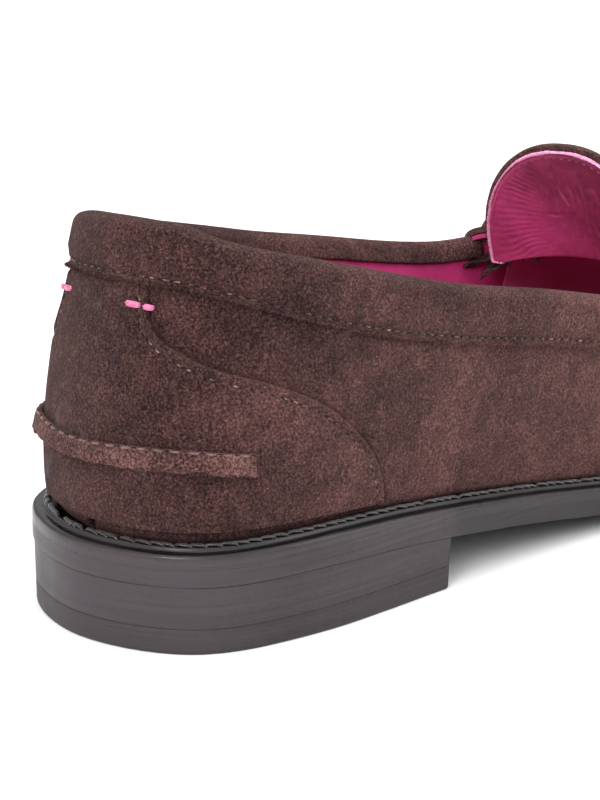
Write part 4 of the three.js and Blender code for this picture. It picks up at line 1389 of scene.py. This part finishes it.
# ------------------------------------------------------------------ tongue
TONGUE_BASE = np.array([113.6, -6.3, 53.6])
TONGUE_LEAN, TONGUE_TILT, TONGUE_TURN = -0.285, -0.09, 0.05
TONGUE_HALF_WIDTH, TONGUE_HEIGHT = 25.0, 29.1
TONGUE_CUP, TONGUE_ROUNDNESS = 3.0, 2.3


def turned(a, b, angle):
    c, s = math.cos(angle), math.sin(angle)
    return a * c - b * s, a * s + b * c


def tongue_point(across, up, depth):
    """Places on the tongue: across it, up its face, and depth towards the toe."""
    across, up, depth = np.broadcast_arrays(across, up, depth)
    x = depth - TONGUE_CUP * (across / TONGUE_HALF_WIDTH) ** 2
    y, z = turned(across, up, TONGUE_TILT)
    x, z = turned(x, z, -TONGUE_LEAN)
    x, y = turned(x, y, TONGUE_TURN)
    return np.stack([x, y, z], -1) + TONGUE_BASE


TONGUE_TAIL = 0.4  # the corners hang below the base line


def tongue_rim(inset, count=500):
    """The tongue's free edge as (across, up), from the inner corner over the top to the outer corner."""
    power = 2 / TONGUE_ROUNDNESS
    angle = np.linspace(0, math.pi, count)
    wide = TONGUE_HALF_WIDTH - inset
    top = np.stack([wide * np.sign(np.cos(angle)) * np.abs(np.cos(angle)) ** power,
                    (TONGUE_HEIGHT - inset) * np.sin(angle) ** power], -1)
    t = np.linspace(1, 0, 40)[:-1]
    tail = np.stack([wide * (1 - 0.115 * t**1.6), -TONGUE_TAIL * t], -1)
    return np.concatenate([tail, top, (tail * [-1, 1])[::-1]])


def even(path, count, closed=False):
    """Points at even steps along a path."""
    if closed:
        path = np.concatenate([path, path[:1]])
    lengths = lengths_along(path)
    wanted = np.linspace(0, lengths[-1], count, endpoint=not closed)
    return np.stack([np.interp(wanted, lengths, path[:, k]) for k in range(path.shape[1])], -1)


def tongue_outline(inset, count, foot):
    """The whole outline: its free edge, and its foot arched up to a height in the middle."""
    rim = tongue_rim(inset)
    across = np.linspace(rim[-1, 0], rim[0, 0], 140)[1:-1]
    low = lerp(foot, rim[0, 1], (across / rim[0, 0]) ** 2)
    return even(np.concatenate([rim, np.stack([across, low], -1)]), count, closed=True)


def tongue_disc(inset, count, rings, foot, centre=(0.0, 14.0)):
    """Ring points from the middle to the outline, closer together near the outline, and their distance from it."""
    outline = tongue_outline(inset, count, foot)
    share = 1 - (1 - np.linspace(0.04, 1, rings)) ** 1.25
    middle = np.array(centre)
    grid = middle + (outline - middle)[None] * share[:, None, None]
    gap = np.linalg.norm(outline - middle, axis=-1)[None, :] * (1 - share)[:, None]
    return grid, gap


def disc_object(name, front, back, material):
    """A closed leaf from two stacks of rings, each from the middle outwards."""
    rings, count = front.shape[:2]
    size = rings * count
    points = np.concatenate([two_sides(front, back), front[:1].mean(1), back[:1].mean(1)])
    faces = grid_faces(rings, count, close_columns=True).tolist()
    faces += grid_faces(rings, count, close_columns=True, start=size)[:, ::-1].tolist()
    edge_ids = np.arange(count) + (rings - 1) * count
    after = np.roll(edge_ids, -1)
    faces += np.stack([edge_ids, after, after + size, edge_ids + size], -1).tolist()
    for j in range(count):
        faces.append([2 * size, (j + 1) % count, j])
        faces.append([2 * size + 1, size + j, size + (j + 1) % count])
    return make_object(name, points, faces, material)


STITCH_IN = 2.75  # of the tongue's stitches, inside its outline


def tongue_suede():
    grid, gap = tongue_disc(0.0, 300, 46, 3.2)
    across, up = grid[..., 0], grid[..., 1]
    flat = tongue_point(across, up, 0 * up)
    soft = 0.12 * fractal(flat, 1 / 15, 3, 101)
    fray = 0.10 * noise(flat, 1.3, 102)
    valley = 0.25 * dip(gap, STITCH_IN, 0.5)
    front = tongue_point(across, up, UPPER + soft + 0.35 - 0.55 * (1 - swell_in(gap)) - valley)
    back = tongue_point(across, up, -0.12 + 0.45 * (1 - swell_in(gap, 0.7)) + fray * (gap < 1.2))
    return disc_object("tongue_suede_face", front, back, SUEDE)


def tongue_lining():
    grid, gap = tongue_disc(1.8, 520, 92, 1.6)
    across, up = grid[..., 0], grid[..., 1]
    flat = tongue_point(across, up, 0 * up)
    # fine creases run in from the inner edge, longer ones stand in the middle
    side = smooth(3, 17, across)
    fan = np.arctan2(up - 11.0, across + 6)
    wander = 1.6 * noise(flat, 0.16, 103) + 0.5 * noise(flat, 0.5, 108)
    fine = np.sin(fan * 96 + 2.2 * wander) * (0.25 + 0.75 * np.abs(noise(flat, 0.3, 104)))
    wrinkles = 0.13 * side * (1 - 0.5 * smooth(14, 21, across)) * fine
    for place, size, wide, low, high in MIDDLE_CREASES:
        bend = place + 1.7 * noise(np.stack([0 * up, 0 * up, up], -1), 0.16, int(place * 10) % 97)
        body = smooth(low - 3, low + 2, up) * (1 - smooth(high - 3, high + 3, up))
        wrinkles = wrinkles - size * dip(across, bend, wide) * body
        wrinkles = wrinkles + 0.55 * size * dip(across, bend + 1.6 * wide, wide) * body
    cross = dip(up, 12.3 + 0.06 * (across - 4) ** 2, 0.4) * smooth(1, 3, across) * (1 - smooth(5, 7, across))
    wrinkles = wrinkles - 0.20 * cross + 0.16 * fractal(flat, 1 / 7, 3, 105) + 0.05 * fractal(flat, 1 / 1.6, 2, 106)
    wrinkles = wrinkles * smooth(0.3, 2.2, gap)
    back = tongue_point(across, up, -GAP - LINING + 0.1 - wrinkles + 0.75 * (1 - swell_in(gap, 0.9)))
    front = tongue_point(across, up, -0.2 + 0 * up)
    return disc_object("tongue_lining_leather", front, back, TONGUE_PINK)


# place across the tongue, depth, half width, and the heights between which each crease runs
MIDDLE_CREASES = (
    (7.2, 0.20, 0.5, 12, 19), (5.0, 0.16, 0.45, 13, 23), (2.2, 0.24, 0.55, 12, 25), (0.4, 0.20, 0.5, 8, 22),
    (-1.8, 0.22, 0.5, 11, 21), (-3.6, 0.18, 0.45, 7, 18), (-5.2, 0.22, 0.55, 9, 22), (-7.4, 0.18, 0.5, 6, 17),
    (-9.6, 0.20, 0.6, 8, 20), (-13.0, 0.18, 0.7, 7, 19),
)


EDGE_IN, NIP_PITCH = 1.5, 2.1


def tongue_edge():
    """The pale cut edge of the lining's hem, nipped by its stitches."""
    stations, around = 520, 12
    rim = even(tongue_rim(EDGE_IN), stations)
    inwards = unit(np.stack([-np.gradient(rim[:, 1]), np.gradient(rim[:, 0])], -1))
    line = tongue_point(rim[:, 0], rim[:, 1], -0.6 + 0 * rim[:, 0])
    nip = np.clip(np.cos(2 * np.pi * lengths_along(line)[:, None] / NIP_PITCH), 0, 1) ** 4
    line = line[:, None]
    angle = ring_angles(around)[None, :]
    wide = 0.36 + 0.13 * noise(line, 0.18, 107) - 0.05 * nip
    aside = wide * np.cos(angle) + 0.10 * noise(line, 0.8, 107)
    depth = -0.66 - (0.54 - 0.10 * nip) * np.sin(angle)
    place = rim[:, None] + inwards[:, None] * aside[..., None]
    return grid_object("tongue_pink_edge", tongue_point(place[..., 0], place[..., 1], depth), PINK_EDGE,
                       close_columns=True, caps=True)


settle(tongue_suede(), "suede", "tongue_suede", body="tongue")
settle(tongue_lining(), "lining_leather", "tongue_lining", body="tongue")
settle(tongue_edge(), "pink_edge", "tongue_edge", body="tongue")


def tongue_seam():
    rim = even(tongue_rim(STITCH_IN), 500)
    for label, row, depth, sign, material in (("back", rim, -GAP - LINING + 0.16, -1, TONGUE_THREAD),
                                              ("front", rim[45:-45], UPPER + 0.12, 1, BROWN_THREAD)):
        low, high = (tongue_point(row[:, 0], row[:, 1], depth + lift + 0 * row[:, 0]) for lift in (0, sign * 0.5))
        seam(f"tongue_stitches_{label}", low, unit(high - low), 2.1, 1.0, 0.11, material, body="tongue", hole=0.10,
             hole_stretch=1.6, hump=0.08, seed=108)


tongue_seam()


def fringe():
    """The ragged ends of the apron's seam allowance: torn strips of suede under the tongue's inner corner."""
    random = np.random.default_rng(109)
    parts = []
    starts = np.concatenate([np.linspace(0.60, 0.875, 15), np.linspace(0.72, 0.88, 9)])
    for i, s0 in enumerate(starts):
        s = s0 + random.uniform(-0.008, 0.008)
        narrow = i % 3 != 0
        length = random.uniform(6.0, 9.5) if narrow else random.uniform(8.0, 11.0)
        length *= lerp(0.5, 1.0, smooth(0.66, 0.80, s))
        wide = random.uniform(0.4, 0.8) if narrow else random.uniform(1.2, 2.1)
        lean = random.uniform(-0.2, 0.75)
        curl = random.uniform(-0.9, 1.1)
        root = crown_skin(np.array(THROAT + 0.006), np.array(s), np.array(-4.2 - random.uniform(0, 0.6)))
        rows, cols = 26, 7
        t = np.linspace(0, 1, rows)[:, None]
        c = np.linspace(-1, 1, cols)[None, :]
        taper = (1 - t) ** 0.7 * (1 - 0.45 * np.abs(np.sin(7 * t + i))) + 0.05
        torn = 0.35 * noise(np.stack(np.broadcast_arrays(t * 20 + i * 9, np.sign(c) * 3, 0 * t), -1), 0.9, 110)
        swing = smooth(0.28, 1.0, t)
        back = -length * (0.80 * swing + 0.06 * np.sin(3 * t + i) * swing)
        down = -length * 0.74 * t**0.9 - 0.3
        y = wide * c * (taper + torn * t) + lean * length * t**1.3 + 0.5 * np.sin(5 * t + i) * t
        lift = curl * swing**2 + 0.25 * c**2 * t
        outer = np.stack(np.broadcast_arrays(root[0] + back, root[1] + y, root[2] + down + lift), -1)
        inner = outer - np.array([0.35, 0, 0.55]) * (1 - 0.6 * t[..., None])
        parts.append((two_sides(outer, inner), leaf_faces(rows, cols)))
    return make_object("throat_fringe_strips", *joined(parts), SUEDE_DARK)


settle(fringe(), "suede", "throat_fringe")


# ------------------------------------------------------------------ finishes of the hidden CAD pieces
HIDDEN = {
    "insole_board": FIBRE, "waist_filler": FIBRE, "heel_stiffener": FIBRE, "toe_puff": FIBRE, "cork_filler": CORK,
    "steel_shank": STEEL, **{f"heel_nail_{i}": STEEL for i in range(1, 6)},
}
for node, finish in HIDDEN.items():
    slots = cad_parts[node].data.materials
    for i in range(len(slots)):
        slots[i] = finish
    if not len(slots):
        slots.append(finish)
